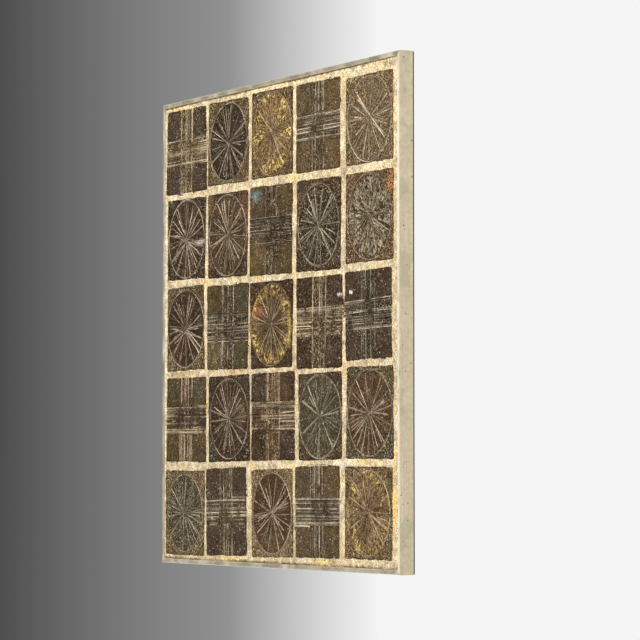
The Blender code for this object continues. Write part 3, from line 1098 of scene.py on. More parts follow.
LAYING = (
    (
        Tile(CROSS, "olive", 187, 183, -0.5, 12, 3, AUBERGINE, OLIVE, (Bloom(-55, 55, 34, 34, PLUM),
             Bloom(56, 52, 30, 34, TEAL, 0.4), Bloom(-55, -58, 34, 34, PLUM, 0.7),
             Bloom(56, -55, 32, 34, SOOT, 0.5)), extra=20, rough=1.1, upright_last=True),
        Tile(WHEEL, "umber", 182, 178, -1.0, 6, 14, SMOKE, OLIVE, (Bloom(-45, -8, 34, 26, PLUM),
             Bloom(42, 32, 28, 26, PLUM, 0.5), Bloom(0, 0, 18, 18, TEAL, 0.6),
             Bloom(70, -72, 22, 20, BRICK, 0.35)), extra=18, rough=0.25),
        Tile(WHEEL, "amber", 177, 181, -0.5, 1, 16, AMBER, OLIVE, (Bloom(70, 10, 14, 50, RUST, 0.6),
             Bloom(0, 0, 16, 14, KHAKI, 0.6), Bloom(-76, 78, 20, 20, PLUM, 0.5)), extra=26, dashes=190,
             pool=1.0, pool_from=8, pool_full=46, pale=0.95, rough=0.6),
        Tile(CROSS, "moss", 179, 182, -0.5, 0, 4, DRAB, WALNUT, (Bloom(27, 62, 4, 44, RUST, 0.85),
             Bloom(86, -45, 5, 36, BRICK, 0.85), Bloom(-30, 60, 50, 26, TEAL, 0.3),
             Bloom(-55, -60, 34, 34, CLAY, 0.5)), extra=25, rough=0.5, uprights=0.9),
        Tile(WHEEL, "umber", 182, 175, 0.0, 0, 15, SAND, DRAB, (Bloom(-62, 82, 22, 8, GOLD, 0.25),
             Bloom(86, -20, 10, 62, OCHRE, 0.5), Bloom(30, -82, 46, 8, TEAL, 0.6),
             Bloom(-30, -45, 24, 24, PLUM, 0.5)), extra=27, chords=3, rough=0.6),
    ),
    (
        Tile(WHEEL, "umber", 179, 176, -1.0, -4, 15, UMBER, SMOKE, (Bloom(-80, 80, 26, 24, TEAL),
             Bloom(80, 80, 26, 26, TEAL), Bloom(80, -78, 24, 26, SOOT),
             Bloom(10, -55, 26, 22, RUST, 0.4), Bloom(66, -9, 17, 5, PAINTED_GLINT, 1.2)), extra=20, chords=6,
             rough=0.35),
        Tile(WHEEL, "umber", 179, 180, -0.5, -5, 16, WALNUT, UMBER, (Bloom(74, 55, 16, 40, RUST, 0.8),
             Bloom(-78, 72, 18, 26, OCHRE), Bloom(-80, -60, 14, 30, RUST, 0.4)), extra=20, rough=0.35),
        Tile(CROSS, "moss", 183, 186, -1.0, 0, 3, OLIVE, UMBER,
             (Bloom(-63, 74, 22, 13, paint(104, 126, 122), 1.25), Bloom(-55, -48, 26, 34, OCHRE, 0.55),
             Bloom(-50, 30, 30, 18, PLUM, 0.5)), extra=24, rough=0.8, pale=0.65, uprights=0.7),
        Tile(WHEEL, "moss", 181, 186, -1.5, 1, 14, SMOKE, UMBER, (Bloom(0, 0, 55, 60, TEAL, 0.45),
             Bloom(0, 84, 26, 8, RUST, 0.7), Bloom(-78, 78, 22, 22, PLUM),
             Bloom(82, -60, 14, 40, PLUM)), extra=21, rough=0.6),
        Tile(WHEEL, "ash", 184, 177, -0.5, 2, 16, UMBER, TOBACCO, (Bloom(82, 70, 12, 26, ORANGE, 0.6),
             Bloom(86, 5, 7, 60, RUST, 0.8), Bloom(-78, 74, 22, 20, RUST, 0.4)), extra=24, dashes=420,
             pale=0.62, rough=1.0),
    ),
    (
        Tile(WHEEL, "umber", 174, 182, 0.5, 5, 15, UMBER, OLIVE, (Bloom(-30, -48, 30, 30, BRICK, 0.32),
             Bloom(18, 48, 26, 24, BRICK, 0.22), Bloom(-74, -78, 26, 24, KHAKI)), extra=20, chords=2,
             rough=0.2),
        Tile(CROSS, "moss", 186, 180, -1.0, -7, 3, OLIVE, UMBER, (Bloom(62, 58, 34, 30, TEAL, 0.85),
             Bloom(62, -58, 36, 30, TEAL, 0.65), Bloom(-50, -50, 46, 42, KHAKI, 0.6)), extra=25,
             rough=0.7),
        Tile(WHEEL, "amber", 182, 180, 0.0, -10, 16, TOBACCO, UMBER,
             (Bloom(-58, 30, 20, 22, paint(150, 66, 30), 1.15), Bloom(76, -12, 7, 44, GOLD, 0.6),
             Bloom(-80, -80, 20, 20, PLUM), Bloom(80, -78, 20, 20, SOOT, 0.5)), extra=20, dashes=110,
             pool=1.0, pool_from=44, pool_full=72, pale=0.9, rough=0.45),
        Tile(CROSS, "olive", 186, 185, -0.5, -2, 3, UMBER, WALNUT, (Bloom(60, 60, 34, 34, PLUM),
             Bloom(42, -50, 5, 38, RUST, 0.8), Bloom(62, -58, 30, 30, PLUM, 0.5),
             Bloom(80, 52, 9, 4, PAINTED_GLINT, 1.1)), extra=25, rough=1.1, upright_last=True),
        Tile(CROSS, "plum", 178, 175, 0.5, -2, 4, AUBERGINE, SMOKE, (Bloom(0, 0, 30, 88, TEAL, 0.3),
             Bloom(-65, 47, 5, 3, PAINTED_GLINT, 1.0)), extra=22, rough=0.6, uprights=0.5),
    ),
    (
        Tile(CROSS, "ochre", 187, 182, -0.5, 3, 4, OLIVE, UMBER, (Bloom(-62, 58, 32, 30, TEAL, 0.7),
             Bloom(60, 62, 30, 28, SLATE, 0.25), Bloom(-8, 58, 10, 32, RUST, 0.4)), extra=34, rough=0.7,
             pale=1.3),
        Tile(WHEEL, "umber", 186, 182, 0.5, 4, 16, UMBER, SMOKE, (Bloom(-8, 86, 14, 9, BRICK, 1.0),
             Bloom(-80, -74, 26, 28, TEAL, 0.8), Bloom(78, 74, 24, 24, TEAL),
             Bloom(55, 10, 20, 26, OCHRE, 0.5)), extra=20, rough=0.25),
        Tile(CROSS, "olive", 185, 181, 0.0, 1, 3, UMBER, TOBACCO, (Bloom(-58, 55, 34, 30, PLUM),
             Bloom(50, 58, 30, 30, RUST, 0.45), Bloom(60, -58, 34, 30, PLUM)), extra=32, rough=0.8,
             pale=1.1),
        Tile(WHEEL, "moss", 176, 175, 0.5, -1, 14, MOSS, UMBER, (Bloom(0, 0, 62, 62, TEAL, 0.55),
             Bloom(-78, 78, 22, 22, PLUM), Bloom(8, 6, 6, 4, PAINTED_GLINT, 1.0)), extra=22, rough=0.5),
        Tile(WHEEL, "umber", 180, 181, -0.5, 3, 15, TOBACCO, MOSS, (Bloom(50, 62, 18, 14, RUST, 0.5),
             Bloom(82, -66, 15, 40, TEAL, 0.9), Bloom(-82, 78, 16, 26, SOOT),
             Bloom(-78, 20, 8, 30, RUST, 0.6)), extra=18, chords=3, rough=0.35),
    ),
    (
        Tile(WHEEL, "moss", 184, 183, -0.5, -4, 14, MOSS, DRAB, (Bloom(0, 0, 70, 70, TEAL, 0.40),
             Bloom(70, 72, 20, 20, RUST, 0.55), Bloom(-80, 40, 9, 50, RUST, 0.35),
             Bloom(-56, 22, 8, 8, SLATE, 0.6)), extra=22, rough=0.7),
        Tile(CROSS, "plum", 181, 185, 1.0, 2, 4, AUBERGINE, WALNUT, (Bloom(-58, 60, 34, 32, PLUM, 0.4),
             Bloom(0, 0, 28, 90, TEAL, 0.25)), extra=22, rough=0.6, upright_last=True),
        Tile(WHEEL, "umber", 177, 181, 1.0, -1, 14, TOBACCO, SAND, (Bloom(0, 0, 40, 40, PLUM, 0.4),
             Bloom(4, -62, 48, 20, KHAKI, 0.35), Bloom(-76, 60, 12, 24, RUST, 0.5)), extra=14, chords=5,
             rough=0.12),
        Tile(CROSS, "plum", 179, 184, 0.5, -2, 4, DRAB, WALNUT, (Bloom(-58, 62, 34, 34, PLUM, 0.7),
             Bloom(55, -62, 34, 34, SOOT, 0.3)), extra=25, rough=0.5),
        Tile(WHEEL, "amber", 182, 181, -0.5, 1, 16, AMBER, DRAB, (Bloom(-73, -12, 7, 22, GOLD, 0.3),
             Bloom(-26, -68, 26, 7, GOLD, 0.35), Bloom(84, -70, 14, 30, TEAL, 0.5),
             Bloom(-80, 60, 10, 26, RUST, 0.5)), extra=34, dashes=260, pool=0.85, pool_from=30,
             pool_full=70, pale=1.1, rough=0.75),
    ),
)


@dataclass(frozen=True)
class Scoring:
    """The scratches of one tile, in the order they were pulled."""

    tile: Tile
    row: int
    column: int

    def draws(self, salt: int = 0) -> random.Random:
        """This tile's own seeded draws."""
        return random.Random(101 * (self.row + 1) + 7 * (self.column + 1) + 10007 * salt)

    def scratches(self) -> list[Scratch]:
        """Gathers all the scratches.

        Returns:
            The scratches, the earliest first.
        """
        if self.tile.motif is WHEEL:
            return [*self.dashes(), self.ring(), *self.fine_rays(), *self.main_rays(), *self.chords()]
        level, upright = self.main_lines()
        fine_level, fine_upright = self.fine_lines()
        if self.tile.upright_last:
            return [*fine_level, *level, *fine_upright, *upright]
        return [*fine_upright, *upright, *fine_level, *level]

    def edges(self, draw: random.Random, least: float, most: float) -> tuple[float, float]:
        """Makes one of a scratch's two edges stand out.

        Args:
            draw: where its chances come from.
            least: how pale the bright one is at least.
            most: and at most.

        Returns:
            How pale the left and the right edge are.
        """
        bright, dim = draw.uniform(least, most), draw.uniform(0.0, 0.45) * most
        pair = (bright, dim) if draw.random() < 0.5 else (dim, bright)
        return pair[0] * self.tile.pale, pair[1] * self.tile.pale

    def groove(self, draw: random.Random, width: float, pale: float, slim: float) -> dict[str, object]:
        """How deep and how pale a main groove of this width is.

        Args:
            draw: where its chances come from.
            width: its width in mm.
            pale: how pale it is beside the tile's other scratches.
            slim: how much of its width the glaze has left open.

        Returns:
            The scratch's first arguments.
        """
        pale *= draw.choice((0.45, 0.7, 0.95, 1.15, 1.35))
        return {
            "half_width": width / 2 * slim,
            "depth": 1.2,
            "burr": 0.35,
            "core": self.tile.pale * pale * draw.choice((0.0, 0.0, 0.1, 0.5)),
            "crest": self.edges(draw, 0.85 * pale, 1.2 * pale),
        }

    def scrape(self, draw: random.Random, pale: float = 1.0) -> dict[str, object]:
        """How deep and how pale a finer scratch is.

        Args:
            draw: where its chances come from.
            pale: how pale it is beside the tile's other scratches.

        Returns:
            The scratch's first arguments.
        """
        pale *= draw.choice((0.25, 0.5, 0.8, 1.1))
        return {
            "half_width": draw.uniform(0.55, 0.8),
            "depth": draw.uniform(0.45, 0.8),
            "burr": 0.22,
            "core": self.tile.pale * pale * draw.choice((0.0, 0.0, 0.4, 1.0)),
            "crest": self.edges(draw, 0.5 * pale, 1.0 * pale),
            "lanes": FINE_LANES,
        }

    def ring(self) -> RingScratch:
        """The ring."""
        draw = self.draws(1)
        return RingScratch(
            RING_WIDTH / 2 * 0.75,
            1.0,
            0.32,
            self.tile.pale * draw.uniform(0.1, 0.4),
            self.edges(draw, 1.0, 1.3),
            wobble=draw.uniform(0.6, 1.6),
            turn=draw.uniform(0.0, math.tau),
        )

    def main_rays(self) -> list[LineScratch]:
        """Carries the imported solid's rays on to the hub and to the ring.

        Returns:
            The rays, in the order they were pulled.
        """
        draw, shade = self.draws(), self.draws(2)
        hub = Vector((draw.uniform(-1, 1), draw.uniform(-1, 1))) * HUB_WANDER
        step = math.tau / self.tile.lines
        first = draw.uniform(0, step)
        rays = []
        for count in range(self.tile.lines):
            angle = first + step * (count + draw.uniform(-RAY_STEP_WANDER, RAY_STEP_WANDER))
            direction = Vector((math.cos(angle), math.sin(angle)))
            width = draw.uniform(*GROOVE_WIDTHS)
            draw.uniform(*HUB_CLEAR)
            draw.uniform(0, RAY_SHORTFALL)
            along = hub.dot(direction)
            ring = -along + math.sqrt(along**2 - hub.length_squared + RING_RADIUS**2)
            inner = shade.choice((-30.0, -12.0, -4.0, 2.0, 6.0)) + shade.uniform(-3.0, 3.0)
            outer = ring + shade.choice((-7.0, -2.5, -1.0, 0.5)) + shade.uniform(-1.5, 1.5)
            aside = Vector((-direction.y, direction.x)) * shade.uniform(-1.6, 1.6)
            start, end = hub + direction * inner + aside, hub + direction * outer
            # level rays are made paler: painted light on edges that face the lamp above
            look = self.groove(shade, width, 0.66 + 0.76 * abs(direction.x), 0.38 + 0.12 * abs(direction.y))
            bow, wedge = shade.uniform(-0.8, 0.8), shade.uniform(0.2, 0.7)
            rays.append(LineScratch(**look, start=tuple(start), end=tuple(end), bow=bow, wedge=wedge))
        shade.shuffle(rays)
        return rays

    def fine_rays(self) -> list[LineScratch]:
        """Pulls finer rays, anywhere between the main ones.

        Returns:
            The rays.
        """
        draw = self.draws(3)
        rays = []
        for count in range(self.tile.extra):
            angle = math.tau * (count + draw.uniform(0.0, 1.0)) / self.tile.extra
            inner, outer = draw.uniform(3.0, 32.0), draw.choice((62.0, 74.0, 80.0)) + draw.uniform(-4.0, 3.0)
            skew = angle + draw.uniform(-0.05, 0.05)
            start = (inner * math.cos(angle), inner * math.sin(angle))
            end = (outer * math.cos(skew), outer * math.sin(skew))
            # level rays are made paler: painted light on edges that face the lamp above
            look, bow = self.scrape(draw, 0.7 + 0.65 * abs(math.cos(angle))), draw.uniform(-1.2, 1.2)
            rays.append(LineScratch(**look, start=start, end=end, bow=bow, wedge=0.4))
        return rays

    def chords(self) -> list[LineScratch]:
        """Pulls long scratches right across, close to the hub.

        Returns:
            The scratches.
        """
        draw = self.draws(4)
        chords = []
        for _ in range(self.tile.chords):
            angle = draw.choice((0.35, 2.65)) + draw.uniform(-0.35, 0.35)
            aside = draw.uniform(-9.0, 9.0)
            ahead = Vector((math.cos(angle), math.sin(angle)))
            side = Vector((-ahead.y, ahead.x)) * aside
            start = side - ahead * draw.uniform(50.0, 84.0)
            end = side + ahead * draw.uniform(50.0, 84.0)
            look, bow = self.groove(draw, draw.uniform(2.0, 2.8), 1.7, 0.5), draw.uniform(-1.5, 1.5)
            chords.append(LineScratch(**look, start=tuple(start), end=tuple(end), bow=bow))
        return chords

    def dashes(self) -> list[LineScratch]:
        """Fills the ring with short strokes, most of them pointing at the hub.

        Returns:
            The strokes.
        """
        draw = self.draws(5)
        bright = 0.95 if self.tile.glaze == "ash" else 0.48
        dashes = []
        for _ in range(self.tile.dashes):
            angle = draw.uniform(0.0, math.tau)
            reach = 78.0 * math.sqrt(draw.uniform(0.04, 1.0))
            lean = angle + draw.gauss(0.0, 0.22)
            half = draw.uniform(3.0, 7.5)
            middle = Vector((math.cos(angle), math.sin(angle))) * min(reach, 80.0 - half)
            ahead = Vector((math.cos(lean), math.sin(lean))) * half
            look = {
                "half_width": draw.uniform(0.7, 1.1) if bright < 0.5 else draw.uniform(0.45, 0.8),
                "depth": draw.uniform(0.5, 0.9),
                "burr": 0.25,
                "core": draw.uniform(0.0, 1.0) * bright,
                "crest": (draw.uniform(0.0, 0.8) * bright, draw.uniform(0.0, 0.8) * bright),
                "lanes": DASH_LANES,
                "step": 3.5,
            }
            start, end = middle - ahead, middle + ahead
            dashes.append(LineScratch(**look, start=tuple(start), end=tuple(end), fade=3.0))
        return dashes

    def main_lines(self) -> tuple[list[LineScratch], list[LineScratch]]:
        """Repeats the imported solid's lines.

        Returns:
            The level lines and the upright lines.
        """
        draw, shade = self.draws(), self.draws(2)
        tile = self.tile
        bands = []
        # level lines are paler than the uprights: painted light on edges that face the lamp above
        for length, across, pale, slim in (
            (tile.width, tile.height, 1.6, 0.42),
            (tile.height, tile.width, 1.1 * tile.uprights, 0.50),
        ):
            band = BAND_SHARE * across
            lines = []
            for count in range(tile.lines):
                offset = band * (count / (tile.lines - 1) - 0.5) + draw.uniform(-1, 1) * OFFSET_WANDER
                lean = draw.uniform(-1, 1) * LINE_LEAN
                width = draw.uniform(*GROOVE_WIDTHS)
                reach = length / 2 + OVERRUN
                look = self.groove(shade, width, pale, slim)
                start, end = (-reach, offset - lean), (reach, offset + lean)
                lines.append((start, end, look, shade.uniform(-0.7, 0.7)))
            bands.append(lines)
        level = [LineScratch(**look, start=a, end=b, bow=bow) for a, b, look, bow in bands[0]]
        upright = [LineScratch(**look, start=a[::-1], end=b[::-1], bow=bow) for a, b, look, bow in bands[1]]
        return level, upright

    def fine_lines(self) -> tuple[list[LineScratch], list[LineScratch]]:
        """Pulls finer lines within the bands, some of them stopping half way.

        Returns:
            The level lines and the upright lines.
        """
        draw = self.draws(3)
        tile = self.tile
        sets: tuple[list[LineScratch], list[LineScratch]] = ([], [])
        for count in range(tile.extra):
            upright = count % 3 == 2
            length, across = (tile.height, tile.width) if upright else (tile.width, tile.height)
            turn, turns = count // 3, tile.extra // 3
            if not upright:
                turn, turns = count - turn, tile.extra - turns
            share = (turn + draw.uniform(0.1, 0.9)) / turns
            offset = (share - 0.5) * 1.24 * BAND_SHARE * across
            far = length / 2 + 4.0
            low, high = draw.choice(((-far, far), (-far, far), (-far, -far * 0.3), (far * 0.3, far)))
            lean = draw.uniform(-1.4, 1.4)
            start, end = (low, offset - lean), (high, offset + lean)
            if upright:
                start, end = start[::-1], end[::-1]
            # level lines are paler than the uprights: painted light on edges that face the lamp above
            look = self.scrape(draw, 0.9 * tile.uprights if upright else 1.15)
            sets[upright].append(LineScratch(**look, start=start, end=end, bow=draw.uniform(-0.8, 0.8)))
        return sets


# Tiles


@dataclass(frozen=True)
class Dress:
    """What a glaze reads at each point of a tile's face."""

    ground: Array  # the colour before its mottling
    pale: Array  # how far it is scraped pale
    painted_shade: Array  # how far it is painted in shade: a groove's floor and dull edge, and the tile's rim
    pool: Array  # how much glaze has pooled
    rough: Array  # how far the bare, scraped clay shows
    grain: Array  # coordinates that follow the strokes

    def put_on(self, slab: bpy.types.Object, loop: list[int]) -> None:
        """Stores it on the slab.

        Args:
            slab: the tile, whose back points follow those of its face.
            loop: the face's border, which the back points repeat.
        """
        none = np.zeros(len(loop))
        carry(slab, "ground", "FLOAT_COLOR", np.concatenate([self.ground, np.tile(CLAY, (len(loop), 1))]))
        for name in ("pale", "painted_shade", "pool", "rough"):
            carry(slab, name, "FLOAT", np.concatenate([getattr(self, name), none]))
        carry(slab, "grain", "FLOAT_VECTOR", np.concatenate([self.grain, self.grain[loop]]))


@dataclass(frozen=True)
class TileSlab:
    """One tile: a slab with a softened, hand-cut edge and its scratched face."""

    tile: Tile
    row: int
    column: int
    corner_round: float = 6.5
    edge_round: float = 2.3
    edge_drop: float = 1.0
    spacing: float = 3.1
    hub_radius: float = 7.0
    hub_spacing: float = 1.0
    waver: float = 0.6
    swell: float = 0.13
    tilt: float = 0.0016
    square_rise: float = 0.12
    depth: Colour = (0.455, 0.385, 0.282)  # the glaze beside its flecked and scraped face as it looks
    corner_rough: float = 0.95  # how mottled a wheel's corners are
    square_rough: float = 0.22  # and a cross's squares
    rim_shade_reach: float = 3.6  # how far in from its edge a tile is painted in shade

    @property
    def node_name(self) -> str:
        """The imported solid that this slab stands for."""
        return f"tile_row{self.row + 1}_column{self.column + 1}"

    @property
    def seed(self) -> int:
        """What this tile's unevenness starts from."""
        return 1000 + 50 * self.row + 7 * self.column

    def corners(self) -> list[Vector]:
        """Finds the four corners before rounding.

        Returns:
            The corners, anticlockwise from the lower left.
        """
        corners = []
        for side_x, side_z in ((-1, -1), (1, -1), (1, 1), (-1, 1)):
            half = (self.tile.width - side_z * self.tile.flare / 2) / 2
            corners.append(Vector((side_x * half, side_z * self.tile.height / 2)))
        return corners

    def outline(self) -> Array:
        """Rounds the corners and lets the sides waver.

        Returns:
            The outline in the tile's own mm, anticlockwise.
        """
        corners = self.corners()
        points: list[Vector] = []
        for here, corner in enumerate(corners):
            before, after = corners[here - 1], corners[(here + 1) % 4]
            first = corner + (before - corner).normalized() * self.corner_round
            last = corner + (after - corner).normalized() * self.corner_round
            for share in np.linspace(0.0, 1.0, 5):
                points.append(first.lerp(corner, share).lerp(corner.lerp(last, share), share))
            turn_in = after + (corner - after).normalized() * self.corner_round
            count = round((turn_in - last).length / self.spacing)
            points += [last.lerp(turn_in, share) for share in np.linspace(0.0, 1.0, count + 1)[1:-1]]
        loop = np.array([tuple(point) for point in points])
        uneven = Ripple(self.seed + 1, 7.0, 60.0, 16)(loop[:, 0], loop[:, 1])
        inward = inset_loop(loop, 1.0) - loop
        return loop + inward * (self.waver * np.clip(1.0 + uneven, 0.0, 2.2))[:, None]

    def sheet(self, outline: Array, scratches: Sequence[Scratch]) -> tuple[Array, Array]:
        """The face as points and triangles.

        Args:
            outline: the tile's outline.
            scratches: what its lines follow.

        Returns:
            The points as (x, z) rows, and the triangles.
        """
        sheet = SheetMesh(outline)
        for inset in (0.6, 1.3, self.edge_round):
            sheet.add_line(inset_loop(outline, inset), closed=True)
        low, high = outline.min(axis=0) - 4.0, outline.max(axis=0) + 4.0
        runs = [list(scratch.runs()) for scratch in scratches]
        owner = np.concatenate([np.full(sum(map(len, some)), number) for number, some in enumerate(runs)])
        every = np.concatenate([run for some in runs for run in some])
        keep = ((every > low) & (every < high)).all(axis=1)
        wheel = self.tile.motif is WHEEL
        if wheel:
            keep &= np.hypot(*every.T) > self.hub_radius
        loose = self.loose_points(outline)
        for number, scratch in enumerate(scratches):
            strength, lane = scratch.measure(*every.T)
            keep &= ~((owner < number) & (np.abs(lane) < REACH + 0.1) & (strength > 0.2))
            strength, lane = scratch.measure(*loose.T)
            taken = (np.abs(lane) < REACH + 0.4) & (strength > 0.0)
            if wheel:
                taken &= np.hypot(*loose.T) > self.hub_radius
            loose = loose[~taken]
        start = 0
        for some in runs:
            for run in some:
                sheet.add_line(run, keep[start : start + len(run)])
                start += len(run)
        sheet.add_points(loose)
        return sheet.triangulate()

    def loose_points(self, outline: Array) -> Array:
        """Scatters a jittered grid, finer round a wheel's hub.

        Args:
            outline: the tile's outline.

        Returns:
            The points as (x, z) rows.
        """
        draw = np.random.default_rng(self.seed)
        low, high = outline.min(axis=0), outline.max(axis=0)
        grid = np.mgrid[low[0] : high[0] : self.spacing, low[1] : high[1] : self.spacing]
        grid = grid.reshape(2, -1).T
        grid = grid + draw.uniform(-0.3, 0.3, grid.shape) * self.spacing
        grid = grid[depth_inside(*grid.T, outline) > self.edge_round + 1.2]
        if self.tile.motif is not WHEEL:
            return grid
        across = slice(-self.hub_radius, self.hub_radius, self.hub_spacing)
        hub = np.mgrid[across, across].reshape(2, -1).T
        hub = hub + draw.uniform(-0.3, 0.3, hub.shape) * self.hub_spacing
        hub = hub[np.hypot(*hub.T) < self.hub_radius - 0.5]
        return np.concatenate([grid[np.hypot(*grid.T) > self.hub_radius], hub])

    def zones(self, x: Array, z: Array) -> Array:
        """Tells the motif's zones apart.

        Args:
            x: the points' x in mm.
            z: their z in mm.

        Returns:
            1 inside the ring or on the squares, 0 in the corners or on the bands.
        """
        if self.tile.motif is WHEEL:
            return ease(RING_RADIUS + 0.8, RING_RADIUS - 0.8, np.hypot(x, z))
        drift = Ripple(self.seed + 2, 20.0, 90.0)(x, z) * 0.8
        level = BAND_SHARE * self.tile.height * 0.60 + drift
        upright = BAND_SHARE * self.tile.width * 0.60 + drift
        beyond = np.minimum(np.abs(z) - level, np.abs(x) - upright)
        return ease(-0.8, 0.8, beyond)

    def ground(self, x: Array, z: Array, zone: Array) -> Array:
        """Mixes the glaze's colour before its mottling.

        Args:
            x: the points' x in mm.
            z: their z in mm.
            zone: the zone at each point.

        Returns:
            One colour a row.
        """
        light = np.where(zone > 0.5, 0.9, 1.15) if self.tile.motif is WHEEL else np.ones_like(zone)
        colour = np.outer(zone, self.tile.field) + np.outer(1.0 - zone, self.tile.border)
        colour = colour * light[:, None] * self.depth
        ragged = Ripple(self.seed + 3, 12.0, 50.0)(x, z) * 0.2
        ragged = ragged + Ripple(self.seed + 6, 4.0, 9.0, 20)(x, z) * 0.2
        for bloom in self.tile.blooms:
            away = np.hypot((x - bloom.right) / bloom.wide, (z - bloom.up) / bloom.high) + ragged
            share = (ease(1.35, 0.35, away) * bloom.strength * 0.8)[:, None]
            colour = colour * (1.0 - share) + np.outer(share, bloom.colour)
        return colour

    def pooling(self, x: Array, z: Array) -> Array:
        """Pools the glaze in patches, and more of it away from the hub.

        Args:
            x: the points' x in mm.
            z: their z in mm.

        Returns:
            How much has pooled.
        """
        patches = ease(-0.4, 0.9, Ripple(self.seed + 9, 22.0, 90.0)(x, z))
        away = ease(self.tile.pool_from, self.tile.pool_full, np.hypot(x, z))
        return self.tile.pool * away * (0.25 + 0.75 * patches)

    def mottling(self, x: Array, z: Array, zone: Array) -> Array:
        """Mottles the glaze by its zone and in patches.

        Args:
            x: the points' x in mm.
            z: their z in mm.
            zone: the zone at each point.

        Returns:
            How mottled it is.
        """
        struck, calm = zone, self.corner_rough * (0.4 + 0.6 * ease(0.01, 0.08, np.mean(self.tile.border)))
        if self.tile.motif is CROSS:
            struck, calm = 1.0 - zone, self.square_rough
        uneven = np.clip(1.0 + 0.35 * Ripple(self.seed + 11, 15.0, 80.0)(x, z), 0.3, 1.6)
        return np.clip((self.tile.rough * struck + calm * (1.0 - struck)) * uneven, 0.0, 1.2)

    def bareness(self, x: Array, z: Array) -> Array:
        """Leaves scratches bare in patches, and less where they meet.

        Args:
            x: the points' x in mm.
            z: their z in mm.

        Returns:
            How bare they are.
        """
        uneven = Ripple(self.seed + 8, 9.0, 70.0, 16)(x, z)
        if self.tile.motif is WHEEL:
            return np.clip(0.95 + 0.22 * uneven, 0.4, 1.25) * (0.5 + 0.5 * ease(6.0, 30.0, np.hypot(x, z)))
        faded = Ripple(self.seed + 12, 70.0, 240.0, 8)(x, z)
        patches = np.clip(0.84 + 0.34 * uneven + 0.34 * faded, 0.06, 1.45)
        meeting = BAND_SHARE * 0.5 * self.tile.width
        crossed = ease(meeting + 5.0, meeting - 5.0, np.maximum(np.abs(x), np.abs(z)))
        return patches * (1.0 - 0.4 * crossed)

    def grain(self, x: Array, z: Array) -> Array:
        """Lays coordinates slow along the strokes and fast across them.

        Args:
            x: the points' x in mm.
            z: their z in mm.

        Returns:
            One coordinate a row.
        """
        if self.tile.motif is WHEEL:
            reach = np.maximum(np.hypot(x, z), 1e-3)
            around = 3.2 + 0.03 * reach
            return np.stack([x / reach * around, z / reach * around, reach * 0.03 + self.seed], axis=1)
        level = np.abs(z) < BAND_SHARE * self.tile.height * 0.6
        upright = np.abs(x) < BAND_SHARE * self.tile.width * 0.6
        right = np.where(upright, 0.09, np.where(level, 0.008, 0.04))
        up = np.where(upright, 0.008, np.where(level, 0.09, 0.04))
        return np.stack([x * right, z * up, np.full_like(x, self.seed)], axis=1)

    def build(self, material: bpy.types.Material) -> bpy.types.Object:
        """Builds the slab in its place, dresses it, hangs it on the root body and hides the solid it stands
        for.

        Args:
            material: the glaze.

        Returns:
            The slab.
        """
        outline = self.outline()
        scratches = Scoring(self.tile, self.row, self.column).scratches()
        points, triangles = self.sheet(outline, scratches)
        x, z = points.T
        relief = Relief(x, z, self.bareness(x, z))
        for scratch in scratches:
            relief.cut(scratch)
        inside = depth_inside(x, z, outline)
        uneven = np.clip(0.5 + 0.4 * Ripple(self.seed + 10, 12.0, 80.0)(x, z), 0.0, 1.0)
        # painted shade along the tile's edge beside the grout
        rim = ease(self.rim_shade_reach, 0.8, inside) * uneven
        zone = self.zones(x, z)
        draw = np.random.default_rng(self.seed + 4)
        tilt = draw.uniform(-1.0, 1.0, 2) * self.tilt
        swell = self.swell * Ripple(self.seed + 5, 14.0, 90.0)(x, z)
        height = relief.height + swell + tilt[0] * x + tilt[1] * z
        if self.tile.motif is CROSS:
            height += self.square_rise * (2.0 * zone - 1.0)
        off = np.clip(1.0 - inside / self.edge_round, 0.0, 1.0)
        height -= self.edge_drop * (1.0 - np.sqrt(1.0 - off * off))
        height = np.minimum(height, 0.75)
        painted_shade = np.clip(relief.painted_shade, 0.0, 1.0)
        dress = Dress(
            ground=self.ground(x, z, zone),
            pale=np.clip(relief.pale, 0.0, 1.2),
            painted_shade=np.maximum(painted_shade, 0.75 * rim),
            pool=self.pooling(x, z) * zone * (1.0 - painted_shade),
            rough=self.mottling(x, z, zone),
            grain=self.grain(x, z),
        )
        return self.assemble(material, points, triangles, height, dress)

    def assemble(
        self,
        material: bpy.types.Material,
        points: Array,
        triangles: Array,
        height: Array,
        dress: Dress,
    ) -> bpy.types.Object:
        """Closes the face with its sides and back, and moves it to its place on the panel.

        Args:
            material: the glaze.
            points: the face's (x, z) rows in mm.
            triangles: the face's triangles.
            height: how far each point stands out, in mm.
            dress: what the glaze's material reads.

        Returns:
            The slab.
        """
        low, high = (Vector(corner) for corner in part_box(self.node_name))
        centre = (low + high) / 2
        turn = math.radians(self.tile.turn)
        x, z = points.T
        right = centre.x + (x * math.cos(turn) - z * math.sin(turn)) * MM
        up = centre.z + (x * math.sin(turn) + z * math.cos(turn)) * MM
        front = low.y - height * MM
        count = len(points)
        loop = border_loops(triangles)[0]
        shell = Shell()
        shell.points = list(zip(right.tolist(), front.tolist(), up.tolist()))
        shell.points += [(right[here], high.y, up[here]) for here in loop]
        shell.faces = triangles.tolist()
        for here, number in enumerate(loop):
            after = (here + 1) % len(loop)
            shell.faces.append([number, count + here, count + after, loop[after]])
        shell.faces.append([count + here for here in reversed(range(len(loop)))])
        slab = shell.object(f"glazed_{self.node_name}", material, 60.0)
        dress.put_on(slab, loop)
        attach(slab, ROOT)
        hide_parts(self.node_name)
        return slab

